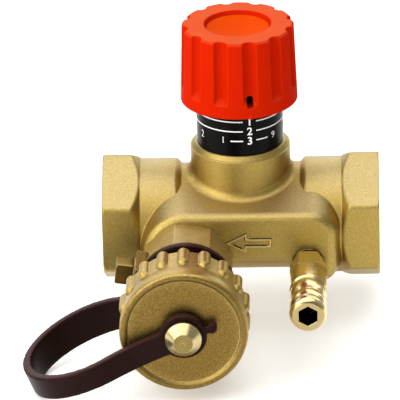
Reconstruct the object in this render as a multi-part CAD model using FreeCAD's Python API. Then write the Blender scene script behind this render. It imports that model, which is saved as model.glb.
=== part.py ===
"""Manual balancing valve with a rising scale knob, a capped drain cock and a test nipple.

The pipe axis is X and the flow runs towards -X. The knob axis is Z, and the two small
ports face -Y. The origin is the middle of the inlet mouth. Every piece is drawn about the
crossing of the pipe and knob axes, and is moved to that origin when it is saved.
Sizes are millimetres. The pieces are drawn with the valve fully open, the drain cock
closed, the cap screwed home and the nipple shut.
"""

import FreeCAD
import Part
import os
from math import asin, atan, cos, degrees, pi, radians, sin, sqrt, tan

from FreeCAD import Placement, Rotation, Vector

# Clearances
FIXED_FIT = 0.05
RUNNING_FIT = 0.10
FREE_GAP = 0.30

# Valve body, a brass forging
BODY_LENGTH = 75.0
HEX_FLATS = 32.0
HEX_WIDTH = 10.2
HEX_INNER_RUN = 2.3
HEX_OUTER_RUN = 0.6
HEX_OUTER_CHAMFER = 1.0
HEX_CORNER_ROUND = 1.6
HEX_CHAMFER_ROUND = 1.2
NECK_RADIUS = 15.8
NECK_START = 17.4
NECK_ROUND = 1.2
CORE_RADIUS = 14.5
CORE_TAPER = 1.3
BOSS_RADIUS = 13.5
BOSS_TOP = 22.8
BOSS_CHAMFER = 1.3
BOSS_STEP = 0.25
BOSS_BLEND = 2.4
SEAM_POINTS = 5

# Pipe threads in the two ends, drawn at their roots
PIPE_THREAD_RADIUS = 13.22
PIPE_THREAD_DEPTH = 16.3
PIPE_LEAD_IN = 0.6
WATERWAY_RADIUS = 9.5

# Seat and the passages on both sides of it
SEAT_LEVEL = -2.0
SEAT_RADIUS = 7.5
SEAT_LIP = 0.6
SEAT_LIP_WIDTH = 1.1
SEAT_WEB = 2.0
CHAMBER_RADIUS = 8.4
CHAMBER_FLOOR = -10.6
PASSAGE_WIDTH = 14.0
OUTLET_PASSAGE_TOP = 8.0
WALL = 3.7

# Lift of the closing cone
LIFT_PER_TURN = 2.8
LIFT_TURNS = 3.2

# Bonnet and the bore that it screws into
BONNET_BORE = 9.8
BONNET_FLANGE_BORE = 10.8
BONNET_STEP = 19.0
BONNET_SEAL_THICKNESS = 0.8
BONNET_HEX_FLATS = 16.6
BONNET_HEX_HEIGHT = 4.7
BONNET_NECK_RADIUS = 6.8
BONNET_TIP_RADIUS = 5.6
BONNET_TIP_HEIGHT = 3.0

# Closing cone
CONE_RADIUS = 9.2
CONE_RIM = 0.5
CONE_SEAL_THICKNESS = 2.4
CONE_SEAL_OUT = 0.6
CONE_STUD_RADIUS = 2.6
CONE_STUD_LENGTH = 3.5
CONE_FLOOR = 1.4
CONE_LID = 1.5
PLUG_LENGTH = 5.0
PLUG_TIP_RADIUS = 4.4

# Spindle
SPINDLE_THREAD_RADIUS = 5.0
SPINDLE_THREAD_LENGTH = 13.6
SPINDLE_RADIUS = 4.0
SPINDLE_HEAD_RADIUS = 3.3
SPINDLE_HEAD_HEIGHT = 1.6
SPINDLE_NECK_RADIUS = 2.2
SPINDLE_SQUARE = 5.4
SPINDLE_SQUARE_LENGTH = 4.2
ORING_SECTION = 0.9
ORING_SIDES = 8

# Scale sleeve
SLEEVE_RADIUS = 11.7
SLEEVE_WALL = 1.5
SLEEVE_PLATE = 1.5
SLEEVE_RIM = 4.5
CLIP_WIDTH = 1.8
CLIP_THICKNESS = 0.95
CLIP_DEPTH = 0.5
CLIP_MOUTH_DEGREES = 60.0

# Knob
KNOB_BOTTOM = 35.3
KNOB_HEIGHT = 21.4
KNOB_BOTTOM_RADIUS = 15.8
KNOB_TOP_RADIUS = 15.1
KNOB_EDGE = 0.5
KNOB_ROOF = 6.7
KNOB_SKIRT_GAP = 0.4
KNOB_HUB_RADIUS = 5.6
DISH_RADIUS = 9.1
DISH_FLOOR_RADIUS = 8.5
DISH_DEPTH = 1.1
PLUG_DISC_THICKNESS = 2.1
PLUG_DISC_SAG = 0.9
PLUG_DISC_RIM = 0.6
FLUTES = 12
FLUTE_RADIUS = 2.0
FLUTE_DEPTH = 1.5
FLUTE_END = 3.5
FLUTE_RAMP = 1.8
POINTER_DEGREES = 12.6
POINTER_SLOT_WIDTH = 1.9
POINTER_SLOT_HEIGHT = 3.1
POINTER_SLOT_MIDDLE = 4.4
POINTER_SLOT_CORNER = 0.7
POINTER_RIDGE_WIDTH = 3.0
POINTER_RIDGE_HEIGHT = 2.4
POINTER_RIDGE_OUT = 0.5

# Knob screw
SCREW_RADIUS = 1.6
SCREW_LENGTH = 7.0
SCREW_HEAD_RADIUS = 3.2
SCREW_HEAD_HEIGHT = 1.9
SCREW_SLOT_WIDTH = 0.9
SCREW_SLOT_DEPTH = 0.9

# Front pad with its two ports
PAD_FACE = 20.5
PAD_BACK = 4.0
PAD_TOP = 8.6
PAD_WEB_BOTTOM = -4.7
PAD_EDGE = 1.8
PAD_EDGE_STEPS = 4
PAD_DRAFT_DEGREES = 17.0
PORT_LEVEL = -5.2
DRAIN_X = -14.4
DRAIN_BOSS_HALF = 11.3
PAD_LEFT_CORNER = 10.6
DRAIN_BOSS_CORNER = 8.5
DRAIN_BOSS_DROP = 10.2
NIPPLE_X = 18.2
NIPPLE_BOSS_RIGHT = 7.1
NIPPLE_BOSS_LEFT = 5.2
PAD_RIGHT_CORNER = 6.4
NIPPLE_BOSS_CORNER = 4.5
NIPPLE_BOSS_DROP = 6.0
PAD_INNER_CORNER = 1.5

# Drain cock body, an octagon bar with a hose thread
DRAIN_TURN_DEGREES = 8.0
DRAIN_PORT_RADIUS = 5.72
DRAIN_PORT_DEPTH = 8.0
DRAIN_BORE = 3.5
OCTAGON_FLATS = 23.4
OCTAGON_LENGTH = 13.7
OCTAGON_CHAMFER = 0.7
DRAIN_NECK_RADIUS = 10.6
DRAIN_NECK_LENGTH = 6.8
HOSE_CORE_RADIUS = 12.06
HOSE_ROOT_RADIUS = 13.32
HOSE_THREAD_LENGTH = 16.0
HOSE_THREAD_CHAMFER = 1.0
DRAIN_SEAL_INNER = 6.2
DRAIN_SEAL_OUTER = 8.6
DRAIN_SEAL_THICKNESS = 1.2

# Ball, seats and stem of the drain cock
BALL_RADIUS = 6.2
BALL_BORE = 3.6
BALL_CAVITY = 7.4
BALL_SLOT_WIDTH = 3.2
BALL_SLOT_DEPTH = 1.6
BALL_SEAT_BACK = 1.2
BALL_SEAT_INNER = 3.6
BALL_SEAT_OUTER = 5.6
BALL_RETAINER_LENGTH = 5.0
BALL_RETAINER_BORE = 4.2
STEM_RADIUS = 4.0
STEM_FLANGE_RADIUS = 5.0
STEM_FLANGE_THICKNESS = 1.0
STEM_FLANGE_SEAT = 8.7
STEM_SHELF = 1.0
STEM_PACKING_THICKNESS = 1.4
STEM_PACKING_RADIUS = 5.4
GLAND_FLATS = 11.0
GLAND_HEIGHT = 2.5
STEM_SQUARE = 5.6
STEM_SQUARE_LENGTH = 4.8
STEM_SQUARE_CHAMFER = 0.6

# Drain cap with its knurl, gasket and button
CAP_ENGAGEMENT = 10.1
CAP_RADIUS = 16.3
CAP_RING_RADIUS = 17.0
CAP_WALL = 2.9
CAP_RING_RISE = 0.75
CAP_RING_ROUND = 1.1
CAP_RING_STEPS = 8
CAP_RING_WIDTH = 2.3
CAP_RING_DEGREES = 140.0
CAP_SHOULDER = 2.6
CAP_RIBS = 18
CAP_RIB_RADIUS = 1.7
CAP_RIB_RISE = 1.2
CAP_RIB_LENGTH = 8.2
CAP_RIB_RUN_OUT = 1.8
GASKET_THICKNESS = 1.6
GASKET_BORE = 7.6
BUTTON_SHANK = 2.6
BUTTON_NECK_RADIUS = 3.0
BUTTON_NECK_LENGTH = 3.6
BUTTON_RADIUS = 4.85
BUTTON_RIM = 1.0
BUTTON_CONE = 2.6
BUTTON_TIP_RADIUS = 2.6
BUTTON_DIMPLE_RADIUS = 0.8
BUTTON_DIMPLE_DEPTH = 0.2

# Retaining strap, moulded flat and bent back on itself
STRAP_THICKNESS = 2.3
STRAP_DROOP_DEGREES = 23.0
STRAP_REACH = 45.8
STRAP_LOOP_RADIUS = 17.5
STRAP_RING_WIDTH = 2.5
STRAP_BACK_WIDTH = 9.2
STRAP_FRONT_WIDTH = 6.2
STRAP_EYE_RADIUS = 6.2
STRAP_TAB_REACH = 7.9
STRAP_TAB_RADIUS = 1.4
STRAP_TAB_WIDTH = 1.9
STRAP_TAB_DEGREES = -6.0

# Test nipple
NIPPLE_LENGTH = 32.5
NIPPLE_RADIUS = 5.0
NIPPLE_HEX_FLATS = 8.7
NIPPLE_HEX_LENGTH = 8.8
NIPPLE_HEX_CHAMFER = 0.9
NIPPLE_THREAD_RADIUS = 4.2
NIPPLE_THREAD_DEPTH = 7.0
NIPPLE_TIP_RADIUS = 1.9
NIPPLE_BORE = 1.3
NIPPLE_CROSS_BORE = 0.9
NIPPLE_NOSE_ROUND = 1.6
NIPPLE_NECK_RADIUS = 3.5
NIPPLE_NECK_LENGTH = 1.0
NIPPLE_SOCKET_FLATS = 5.0
NIPPLE_SOCKET_DEPTH = 7.0
NIPPLE_CREASE_DEPTH = 0.45
NIPPLE_CREASES = (14.6, 8.2, 3.2)
NIPPLE_ROUND_STEPS = 6
NIPPLE_SEAT_BORE = 1.6
NIPPLE_ORING_SECTION = 0.45

# Levels along the knob axis
LIFT = LIFT_PER_TURN * LIFT_TURNS
END = BODY_LENGTH / 2
SEAL_BOTTOM = SEAT_LEVEL + LIFT + FIXED_FIT
SEAL_TOP = SEAL_BOTTOM + CONE_SEAL_THICKNESS
HEAD_BOTTOM = SEAL_TOP + CONE_FLOOR + FREE_GAP / 2
HEAD_TOP = HEAD_BOTTOM + SPINDLE_HEAD_HEIGHT
CONE_TOP = HEAD_TOP + FREE_GAP / 2 + CONE_LID
BONNET_BOTTOM = CONE_TOP + FREE_GAP + FREE_GAP
THREAD_BOTTOM = CONE_TOP + FREE_GAP
THREAD_TOP = THREAD_BOTTOM + SPINDLE_THREAD_LENGTH
RELIEF_TOP = THREAD_TOP + FREE_GAP
KNOB_TOP = KNOB_BOTTOM + KNOB_HEIGHT
ROOF_UNDER = KNOB_TOP - KNOB_ROOF
PLUG_TOP = KNOB_TOP - DISH_DEPTH
PLUG_BOTTOM = PLUG_TOP - PLUG_DISC_THICKNESS
SCREW_SEAT = PLUG_BOTTOM - SCREW_HEAD_HEIGHT - FREE_GAP
SQUARE_BOTTOM = SCREW_SEAT - SPINDLE_SQUARE_LENGTH - FIXED_FIT
SLEEVE_SHOULDER = SQUARE_BOTTOM - LIFT - FREE_GAP - BONNET_TIP_HEIGHT
BONNET_TOP = SLEEVE_SHOULDER + BONNET_TIP_HEIGHT
CLIP_BOTTOM = SLEEVE_SHOULDER + SLEEVE_PLATE
ORING_MIDDLE = (RELIEF_TOP + SLEEVE_SHOULDER) / 2

# Distances in front of the pipe axis along the drain cock
OCTAGON_FRONT = PAD_FACE + OCTAGON_LENGTH
NECK_FRONT = OCTAGON_FRONT + DRAIN_NECK_LENGTH
HOSE_FRONT = NECK_FRONT + HOSE_THREAD_LENGTH
CAVITY_BACK = PAD_FACE + DRAIN_SEAL_THICKNESS + FREE_GAP
SEAT_CONE = (BALL_RADIUS + RUNNING_FIT) * sqrt(2)
BALL_MIDDLE = CAVITY_BACK + BALL_SEAT_BACK + SEAT_CONE - BALL_SEAT_INNER
CAP_BACK = HOSE_FRONT - CAP_ENGAGEMENT
GASKET_FRONT = HOSE_FRONT + FIXED_FIT + GASKET_THICKNESS
CAP_FACE = GASKET_FRONT + CAP_WALL
CAP_RING_FRONT = CAP_FACE + CAP_RING_RISE
BUTTON_HEAD = CAP_FACE + BUTTON_NECK_LENGTH
STRAP_BACK = OCTAGON_FRONT + FREE_GAP
STRAP_FRONT = CAP_RING_FRONT + FREE_GAP
NIPPLE_BACK = PAD_FACE + FREE_GAP
NIPPLE_FRONT = PAD_FACE + NIPPLE_LENGTH
NIPPLE_ORING_MIDDLE = PAD_FACE - NIPPLE_THREAD_DEPTH / 4


def turned(*profile):
    """Return the solid that a closed (radius, height) outline sweeps about the Z axis."""
    corners = [Vector(radius, 0, height) for radius, height in profile]
    outline = Part.makePolygon(corners + corners[:1])
    return Part.Face(outline).revolve(Vector(), Vector(0, 0, 1), 360)


def cylinder(radius, bottom, top):
    """Return an upright cylinder on the Z axis."""
    return Part.makeCylinder(radius, top - bottom, Vector(0, 0, bottom))


def tube(outer, inner, bottom, top):
    """Return an upright ring on the Z axis."""
    return cylinder(outer, bottom, top).cut(cylinder(inner, bottom, top))


def arc_points(centre, radius, start, end, steps):
    """Return (radius, height) points evenly spread on an arc, angles in degrees from outward."""
    angles = [radians(start + (end - start) * step / steps) for step in range(steps + 1)]
    return [(centre[0] + radius * cos(a), centre[1] + radius * sin(a)) for a in angles]


def oring(middle, section, height):
    """Return an O-ring whose section, pressed between its walls, is an octagon."""
    start = 180 / ORING_SIDES
    return turned(*arc_points((middle, height), section, start, start + 360, ORING_SIDES)[1:])


def prism(sides, flats, bottom, top):
    """Return a regular prism about Z with one flat towards +X."""
    radius = flats / 2 / cos(pi / sides)
    angles = [(2 * step + 1) * pi / sides for step in range(sides)]
    corners = [Vector(radius * cos(a), radius * sin(a), bottom) for a in angles]
    face = Part.Face(Part.makePolygon(corners + corners[:1]))
    return face.extrude(Vector(0, 0, top - bottom))


def chamfered_prism(sides, flats, bottom, top, chamfer):
    """Return a regular prism whose corners are turned down at both ends."""
    corner = flats / 2 / cos(pi / sides)
    rim = corner - chamfer
    drop = chamfer * tan(radians(30))
    envelope = turned(
        (0, bottom), (rim, bottom), (corner, bottom + drop), (corner, top - drop), (rim, top), (0, top)
    )
    return prism(sides, flats, bottom, top).common(envelope)


def box(x_range, y_range, z_range):
    """Return a box between two corners given as ranges."""
    low, high = zip(x_range, y_range, z_range)
    size = [b - a for a, b in zip(low, high)]
    return Part.makeBox(*size, Vector(*low))


def ring_of(shape, count, start_degrees=0.0):
    """Return copies of a shape spread evenly round the Z axis."""
    copies = []
    for step in range(count):
        copy = shape.copy()
        copy.rotate(Vector(), Vector(0, 0, 1), start_degrees + 360 / count * step)
        copies.append(copy)
    return copies


def rounded_outline(corners):
    """Return a closed XY wire from (x, y, radius) corners, each rounded by an arc."""
    points = [Vector(x, y, 0) for x, y, _ in corners]
    edges = []
    starts = []
    for index, (_, _, radius) in enumerate(corners):
        here = points[index]
        back = (points[index - 1] - here).normalize()
        ahead = (points[(index + 1) % len(points)] - here).normalize()
        half = back.getAngle(ahead) / 2
        reach = radius / tan(half)
        inward = (back + ahead).normalize()
        middle = here + inward * (radius / sin(half) - radius)
        starts.append((here + back * reach, middle, here + ahead * reach))
    for index, (enter, middle, leave) in enumerate(starts):
        edges.append(Part.Arc(enter, middle, leave).toShape())
        edges.append(Part.LineSegment(leave, starts[(index + 1) % len(starts)][0]).toShape())
    return Part.Wire(edges)


def along_pipe(shape):
    """Turn a shape drawn about Z so that its axis lies along the pipe."""
    shape.rotate(Vector(), Vector(0, 1, 0), 90)
    return shape


def at_port(shape, port_x, turn_degrees=0.0):
    """Place a shape drawn about Z so that it points forward out of a port of the pad."""
    turn = Rotation(Vector(0, 0, 1), -turn_degrees)
    forward = Rotation(Vector(1, 0, 0), 90)
    shape.Placement = Placement(Vector(port_x, 0, PORT_LEVEL), forward * turn) * shape.Placement
    return shape


def at_drain(shape):
    """Place a piece of the drain cock, which its thread leaves turned a little."""
    return at_port(shape, DRAIN_X, DRAIN_TURN_DEGREES)


def across_stem(shape):
    """Turn a shape drawn about Z so that its axis is the stem, pointing out to the side."""
    shape.Placement = Placement(
        Vector(0, 0, BALL_MIDDLE), Rotation(Vector(0, 1, 0), -90)
    ) * shape.Placement
    return shape


def hex_collar():
    """Return one hexagon end along the pipe, rounded as forged, with a corner at the top."""
    inner_end = END - HEX_WIDTH
    chamfer_end = inner_end + HEX_INNER_RUN
    corner = HEX_FLATS / 2 / cos(pi / 6)
    envelope = turned(
        (0, inner_end),
        (NECK_RADIUS, inner_end),
        (corner, chamfer_end),
        (corner, END - HEX_OUTER_RUN),
        (corner - HEX_OUTER_CHAMFER, END),
        (0, END),
    )
    bar = prism(6, HEX_FLATS, inner_end, END)
    corners = [edge for edge in bar.Edges if edge.BoundBox.ZLength > HEX_WIDTH / 2]
    collar = bar.makeFillet(HEX_CORNER_ROUND, corners).common(envelope)
    rim = [
        edge
        for edge in collar.Edges
        if edge.BoundBox.ZMin > inner_end + FIXED_FIT and edge.BoundBox.ZMax < chamfer_end
    ]
    collar = collar.makeFillet(HEX_CHAMFER_ROUND, rim)
    collar.rotate(Vector(), Vector(0, 0, 1), 30)
    return along_pipe(collar)


def body_core():
    """Return the round middle of the forging with its two necks, along the pipe."""
    neck_end = END - HEX_WIDTH / 2
    taper = NECK_START - CORE_TAPER
    core = turned(
        (0, -neck_end),
        (NECK_RADIUS, -neck_end),
        (NECK_RADIUS, -NECK_START),
        (CORE_RADIUS, -taper),
        (CORE_RADIUS, taper),
        (NECK_RADIUS, NECK_START),
        (NECK_RADIUS, neck_end),
        (0, neck_end),
    )
    shoulders = [
        edge
        for edge in core.Edges
        if edge.BoundBox.ZLength < FIXED_FIT and abs(abs(edge.BoundBox.ZMin) - NECK_START) < FIXED_FIT
    ]
    return along_pipe(core.makeFillet(NECK_ROUND, shoulders))


def bonnet_boss():
    """Return the upright boss that carries the bonnet and the scale."""
    return turned(
        (0, 0),
        (BOSS_RADIUS, 0),
        (BOSS_RADIUS, BOSS_TOP - BOSS_CHAMFER),
        (BOSS_RADIUS - BOSS_STEP, BOSS_TOP - BOSS_CHAMFER),
        (BOSS_RADIUS - BOSS_CHAMFER, BOSS_TOP),
        (0, BOSS_TOP),
    )


def pad_outline(distance, draft, inset):
    """Return the pad's outline at a distance in front of the pipe, drafted out and set in."""
    left = DRAIN_X - DRAIN_BOSS_HALF - draft + inset
    drain_right = DRAIN_X + DRAIN_BOSS_HALF - inset
    drain_bottom = PORT_LEVEL - DRAIN_BOSS_DROP + inset
    nipple_left = NIPPLE_X - NIPPLE_BOSS_LEFT + inset
    right = NIPPLE_X + NIPPLE_BOSS_RIGHT + draft - inset
    nipple_bottom = PORT_LEVEL - NIPPLE_BOSS_DROP + inset
    top = PAD_TOP + draft - inset
    web = PAD_WEB_BOTTOM + inset
    outline = rounded_outline(
        [
            (left, top, PAD_LEFT_CORNER + draft - inset),
            (left, drain_bottom, DRAIN_BOSS_CORNER - inset),
            (drain_right, drain_bottom, DRAIN_BOSS_CORNER - inset),
            (drain_right, web, PAD_INNER_CORNER + inset),
            (nipple_left, web, PAD_INNER_CORNER + inset),
            (nipple_left, nipple_bottom, NIPPLE_BOSS_CORNER - inset),
            (right, nipple_bottom, NIPPLE_BOSS_CORNER - inset),
            (right, top, PAD_RIGHT_CORNER + draft - inset),
        ]
    )
    outline.translate(Vector(0, 0, distance))
    return outline


def port_pad():
    """Return the front pad that joins the two port bosses, drafted and with a rounded edge."""
    slope = tan(radians(PAD_DRAFT_DEGREES))
    outlines = [pad_outline(PAD_BACK, (PAD_FACE - PAD_BACK) * slope, 0)]
    for inset, rise in arc_points((0, 0), PAD_EDGE, 0, 90, PAD_EDGE_STEPS):
        distance = PAD_FACE - PAD_EDGE + rise
        outlines.append(pad_outline(distance, (PAD_FACE - distance) * slope, PAD_EDGE - inset))
    pad = Part.makeLoft(outlines, True, True)
    pad.Placement = Placement(Vector(), Rotation(Vector(1, 0, 0), 90))
    return pad


def forging():
    """Return the outside of the body before machining."""
    upper = body_core().fuse([bonnet_boss(), port_pad()]).removeSplitter()
    seam = [
        edge
        for edge in upper.Edges
        if edge.BoundBox.ZMin > 0
        and edge.BoundBox.ZMax < BOSS_TOP - BOSS_CHAMFER - FIXED_FIT
        and all(
            abs(sqrt(point.x ** 2 + point.y ** 2) - BOSS_RADIUS) < FIXED_FIT
            for point in edge.discretize(SEAM_POINTS)
        )
    ]
    body = upper.makeFillet(BOSS_BLEND, seam)
    inlet_collar = hex_collar()
    outlet_collar = inlet_collar.mirror(Vector(), Vector(1, 0, 0))
    return body.fuse([inlet_collar, outlet_collar])


def pipe_end(inner_end):
    """Return the cutter for one pipe thread and its waterway, drawn about Z."""
    thread_end = END - PIPE_THREAD_DEPTH
    return turned(
        (0, inner_end),
        (WATERWAY_RADIUS, inner_end),
        (WATERWAY_RADIUS, thread_end + WATERWAY_RADIUS - PIPE_THREAD_RADIUS),
        (PIPE_THREAD_RADIUS, thread_end),
        (PIPE_THREAD_RADIUS, END - PIPE_LEAD_IN),
        (PIPE_THREAD_RADIUS + PIPE_LEAD_IN, END),
        (0, END),
    )


def valve_body():
    """Return the body with its threads, passages, seat and ports."""
    half = PASSAGE_WIDTH / 2
    web_top = SEAT_LEVEL - SEAT_LIP
    web_bottom = web_top - SEAT_WEB
    inlet_end = BONNET_BORE + WALL
    outlet_end = CHAMBER_RADIUS + WALL
    thread_end = END - PIPE_THREAD_DEPTH
    inlet = along_pipe(pipe_end(inlet_end))
    outlet = along_pipe(pipe_end(outlet_end)).mirror(Vector(), Vector(1, 0, 0))
    inlet_passage = box((0, thread_end), (-half, half), (CHAMBER_FLOOR, web_bottom))
    outlet_passage = box((-thread_end, 0), (-half, half), (web_top, OUTLET_PASSAGE_TOP))
    chamber = cylinder(CHAMBER_RADIUS, CHAMBER_FLOOR, web_bottom)
    upper_bore = turned(
        (0, web_top - SEAT_WEB),
        (SEAT_RADIUS, web_top - SEAT_WEB),
        (SEAT_RADIUS, SEAT_LEVEL),
        (SEAT_RADIUS + SEAT_LIP_WIDTH, SEAT_LEVEL),
        (SEAT_RADIUS + SEAT_LIP_WIDTH, web_top),
        (BONNET_BORE, web_top),
        (BONNET_BORE, BONNET_STEP),
        (BONNET_FLANGE_BORE, BONNET_STEP),
        (BONNET_FLANGE_BORE, BOSS_TOP),
        (0, BOSS_TOP),
    )
    drain_port = cylinder(DRAIN_PORT_RADIUS, PAD_FACE - DRAIN_PORT_DEPTH, PAD_FACE)
    drain_way = cylinder(DRAIN_BORE, 0, PAD_FACE)
    port_end = PAD_FACE - NIPPLE_THREAD_DEPTH
    nipple_wall = NIPPLE_THREAD_RADIUS + RUNNING_FIT
    nipple_port = turned(
        (0, 0),
        (NIPPLE_SEAT_BORE, 0),
        (NIPPLE_SEAT_BORE, port_end - nipple_wall + NIPPLE_SEAT_BORE),
        (nipple_wall, port_end),
        (nipple_wall, PAD_FACE),
        (0, PAD_FACE),
    )
    cutters = [
        inlet,
        outlet,
        inlet_passage,
        outlet_passage,
        chamber,
        upper_bore,
        at_port(drain_port.fuse(drain_way), DRAIN_X),
        at_port(nipple_port, NIPPLE_X),
    ]
    return forging().cut(cutters)


def bonnet_insert():
    """Return the screwed bonnet with its spindle thread, seal bore and clip groove."""
    shank = BONNET_BORE - FIXED_FIT
    flange = BONNET_FLANGE_BORE - FIXED_FIT
    flange_bottom = BONNET_STEP + BONNET_SEAL_THICKNESS
    hex_top = BOSS_TOP + BONNET_HEX_HEIGHT
    thread_bore = SPINDLE_THREAD_RADIUS + RUNNING_FIT
    relief_bore = SPINDLE_THREAD_RADIUS + FREE_GAP
    seal_bore = SPINDLE_RADIUS + RUNNING_FIT
    groove = BONNET_TIP_RADIUS - CLIP_DEPTH
    clip_top = CLIP_BOTTOM + CLIP_THICKNESS + FIXED_FIT
    outside = turned(
        (0, BONNET_BOTTOM),
        (shank, BONNET_BOTTOM),
        (shank, flange_bottom),
        (flange, flange_bottom),
        (flange, BOSS_TOP),
        (BONNET_NECK_RADIUS, BOSS_TOP),
        (BONNET_NECK_RADIUS, SLEEVE_SHOULDER),
        (BONNET_TIP_RADIUS, SLEEVE_SHOULDER),
        (BONNET_TIP_RADIUS, CLIP_BOTTOM),
        (groove, CLIP_BOTTOM),
        (groove, clip_top),
        (BONNET_TIP_RADIUS, clip_top),
        (BONNET_TIP_RADIUS, BONNET_TOP),
        (0, BONNET_TOP),
    )
    spanner = prism(6, BONNET_HEX_FLATS, BOSS_TOP, hex_top)
    oring_groove = seal_bore + 2 * ORING_SECTION
    inside = turned(
        (0, BONNET_BOTTOM),
        (thread_bore, BONNET_BOTTOM),
        (thread_bore, BOSS_TOP),
        (relief_bore, BOSS_TOP),
        (relief_bore, RELIEF_TOP),
        (seal_bore, RELIEF_TOP),
        (seal_bore, ORING_MIDDLE - ORING_SECTION - FIXED_FIT),
        (oring_groove, ORING_MIDDLE - ORING_SECTION - FIXED_FIT),
        (oring_groove, ORING_MIDDLE + ORING_SECTION + FIXED_FIT),
        (seal_bore, ORING_MIDDLE + ORING_SECTION + FIXED_FIT),
        (seal_bore, BONNET_TOP),
        (0, BONNET_TOP),
    )
    return outside.fuse(spanner).removeSplitter().cut(inside)


def bonnet_seal():
    """Return the flat ring that seals the bonnet flange on its step."""
    outer = BONNET_FLANGE_BORE - FIXED_FIT
    return tube(outer, BONNET_BORE, BONNET_STEP, BONNET_STEP + BONNET_SEAL_THICKNESS)


def spindle_oring():
    """Return the O-ring in the bonnet that seals the spindle."""
    middle = SPINDLE_RADIUS + RUNNING_FIT + ORING_SECTION
    return oring(middle, ORING_SECTION - FIXED_FIT, ORING_MIDDLE)


def scale_sleeve():
    """Return the scale sleeve, clipped on the bonnet and standing on the boss."""
    inner = SLEEVE_RADIUS - SLEEVE_WALL
    plate_bore = BONNET_TIP_RADIUS + FIXED_FIT
    plate_top = SLEEVE_SHOULDER + SLEEVE_PLATE
    return turned(
        (inner, BOSS_TOP),
        (SLEEVE_RADIUS, BOSS_TOP),
        (SLEEVE_RADIUS, plate_top + SLEEVE_RIM),
        (inner, plate_top + SLEEVE_RIM),
        (inner, plate_top),
        (plate_bore, plate_top),
        (plate_bore, SLEEVE_SHOULDER),
        (inner, SLEEVE_SHOULDER),
    )


def sleeve_clip():
    """Return the open spring clip that holds the sleeve on the bonnet."""
    inner = BONNET_TIP_RADIUS - CLIP_DEPTH + FIXED_FIT
    outer = inner + CLIP_WIDTH
    ring = tube(outer, inner, CLIP_BOTTOM, CLIP_BOTTOM + CLIP_THICKNESS)
    half = radians(CLIP_MOUTH_DEGREES / 2)
    far = 2 * outer
    mouth = Part.makePolygon(
        [
            Vector(0, 0, CLIP_BOTTOM),
            Vector(far * cos(half), -far * sin(half), CLIP_BOTTOM),
            Vector(far * cos(half), far * sin(half), CLIP_BOTTOM),
            Vector(0, 0, CLIP_BOTTOM),
        ]
    )
    return ring.cut(Part.Face(mouth).extrude(Vector(0, 0, CLIP_THICKNESS)))


def cone_holder():
    """Return the cone's carrier, whose side slot hooks over the head of the spindle."""
    seal_room = CONE_RADIUS - CONE_RIM
    holder = turned(
        (0, SEAL_TOP),
        (seal_room, SEAL_TOP),
        (seal_room, SEAL_BOTTOM + CONE_SEAL_OUT),
        (CONE_RADIUS, SEAL_BOTTOM + CONE_SEAL_OUT),
        (CONE_RADIUS, CONE_TOP),
        (0, CONE_TOP),
    )
    stud_room = cylinder(CONE_STUD_RADIUS + FIXED_FIT, SEAL_TOP, SEAL_TOP + CONE_FLOOR)
    head_room = SPINDLE_HEAD_RADIUS + FREE_GAP
    neck_room = SPINDLE_NECK_RADIUS + FREE_GAP
    pocket_bottom = HEAD_BOTTOM - FREE_GAP / 2
    pocket_top = HEAD_TOP + FREE_GAP / 2
    pocket = cylinder(head_room, pocket_bottom, pocket_top)
    throat = cylinder(neck_room, pocket_top, CONE_TOP)
    pocket_way = box((-CONE_RADIUS, 0), (-head_room, head_room), (pocket_bottom, pocket_top))
    throat_way = box((-CONE_RADIUS, 0), (-neck_room, neck_room), (pocket_top, CONE_TOP))
    return holder.cut([stud_room, pocket, throat, pocket_way, throat_way])


def cone_seal():
    """Return the soft ring that closes on the seat."""
    outer = CONE_RADIUS - CONE_RIM - FIXED_FIT
    return tube(outer, CONE_STUD_RADIUS + FIXED_FIT, SEAL_BOTTOM, SEAL_TOP)


def cone_plug():
    """Return the throttling plug that clamps the seal and dips into the seat."""
    widest = SEAT_RADIUS - FREE_GAP - RUNNING_FIT
    middle = (widest + PLUG_TIP_RADIUS) / 2 + FREE_GAP
    return turned(
        (0, SEAL_BOTTOM - PLUG_LENGTH),
        (PLUG_TIP_RADIUS, SEAL_BOTTOM - PLUG_LENGTH),
        (middle, SEAL_BOTTOM - PLUG_LENGTH / 2),
        (widest, SEAL_BOTTOM - PLUG_LENGTH / 4),
        (widest, SEAL_BOTTOM),
        (CONE_STUD_RADIUS, SEAL_BOTTOM),
        (CONE_STUD_RADIUS, SEAL_BOTTOM + CONE_STUD_LENGTH),
        (0, SEAL_BOTTOM + CONE_STUD_LENGTH),
    )


def spindle():
    """Return the spindle from its hooked head to the square that turns with the knob."""
    shaft = turned(
        (0, HEAD_BOTTOM),
        (SPINDLE_HEAD_RADIUS, HEAD_BOTTOM),
        (SPINDLE_HEAD_RADIUS, HEAD_TOP),
        (SPINDLE_NECK_RADIUS, HEAD_TOP),
        (SPINDLE_NECK_RADIUS, THREAD_BOTTOM),
        (SPINDLE_THREAD_RADIUS, THREAD_BOTTOM),
        (SPINDLE_THREAD_RADIUS, THREAD_TOP),
        (SPINDLE_RADIUS, THREAD_TOP),
        (SPINDLE_RADIUS, SQUARE_BOTTOM),
        (0, SQUARE_BOTTOM),
    )
    square = prism(4, SPINDLE_SQUARE, SQUARE_BOTTOM, SQUARE_BOTTOM + SPINDLE_SQUARE_LENGTH)
    screw_hole = cylinder(
        SCREW_RADIUS + FIXED_FIT, SCREW_SEAT - SCREW_LENGTH - FREE_GAP, SCREW_SEAT
    )
    return shaft.fuse(square).cut(screw_hole)


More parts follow.
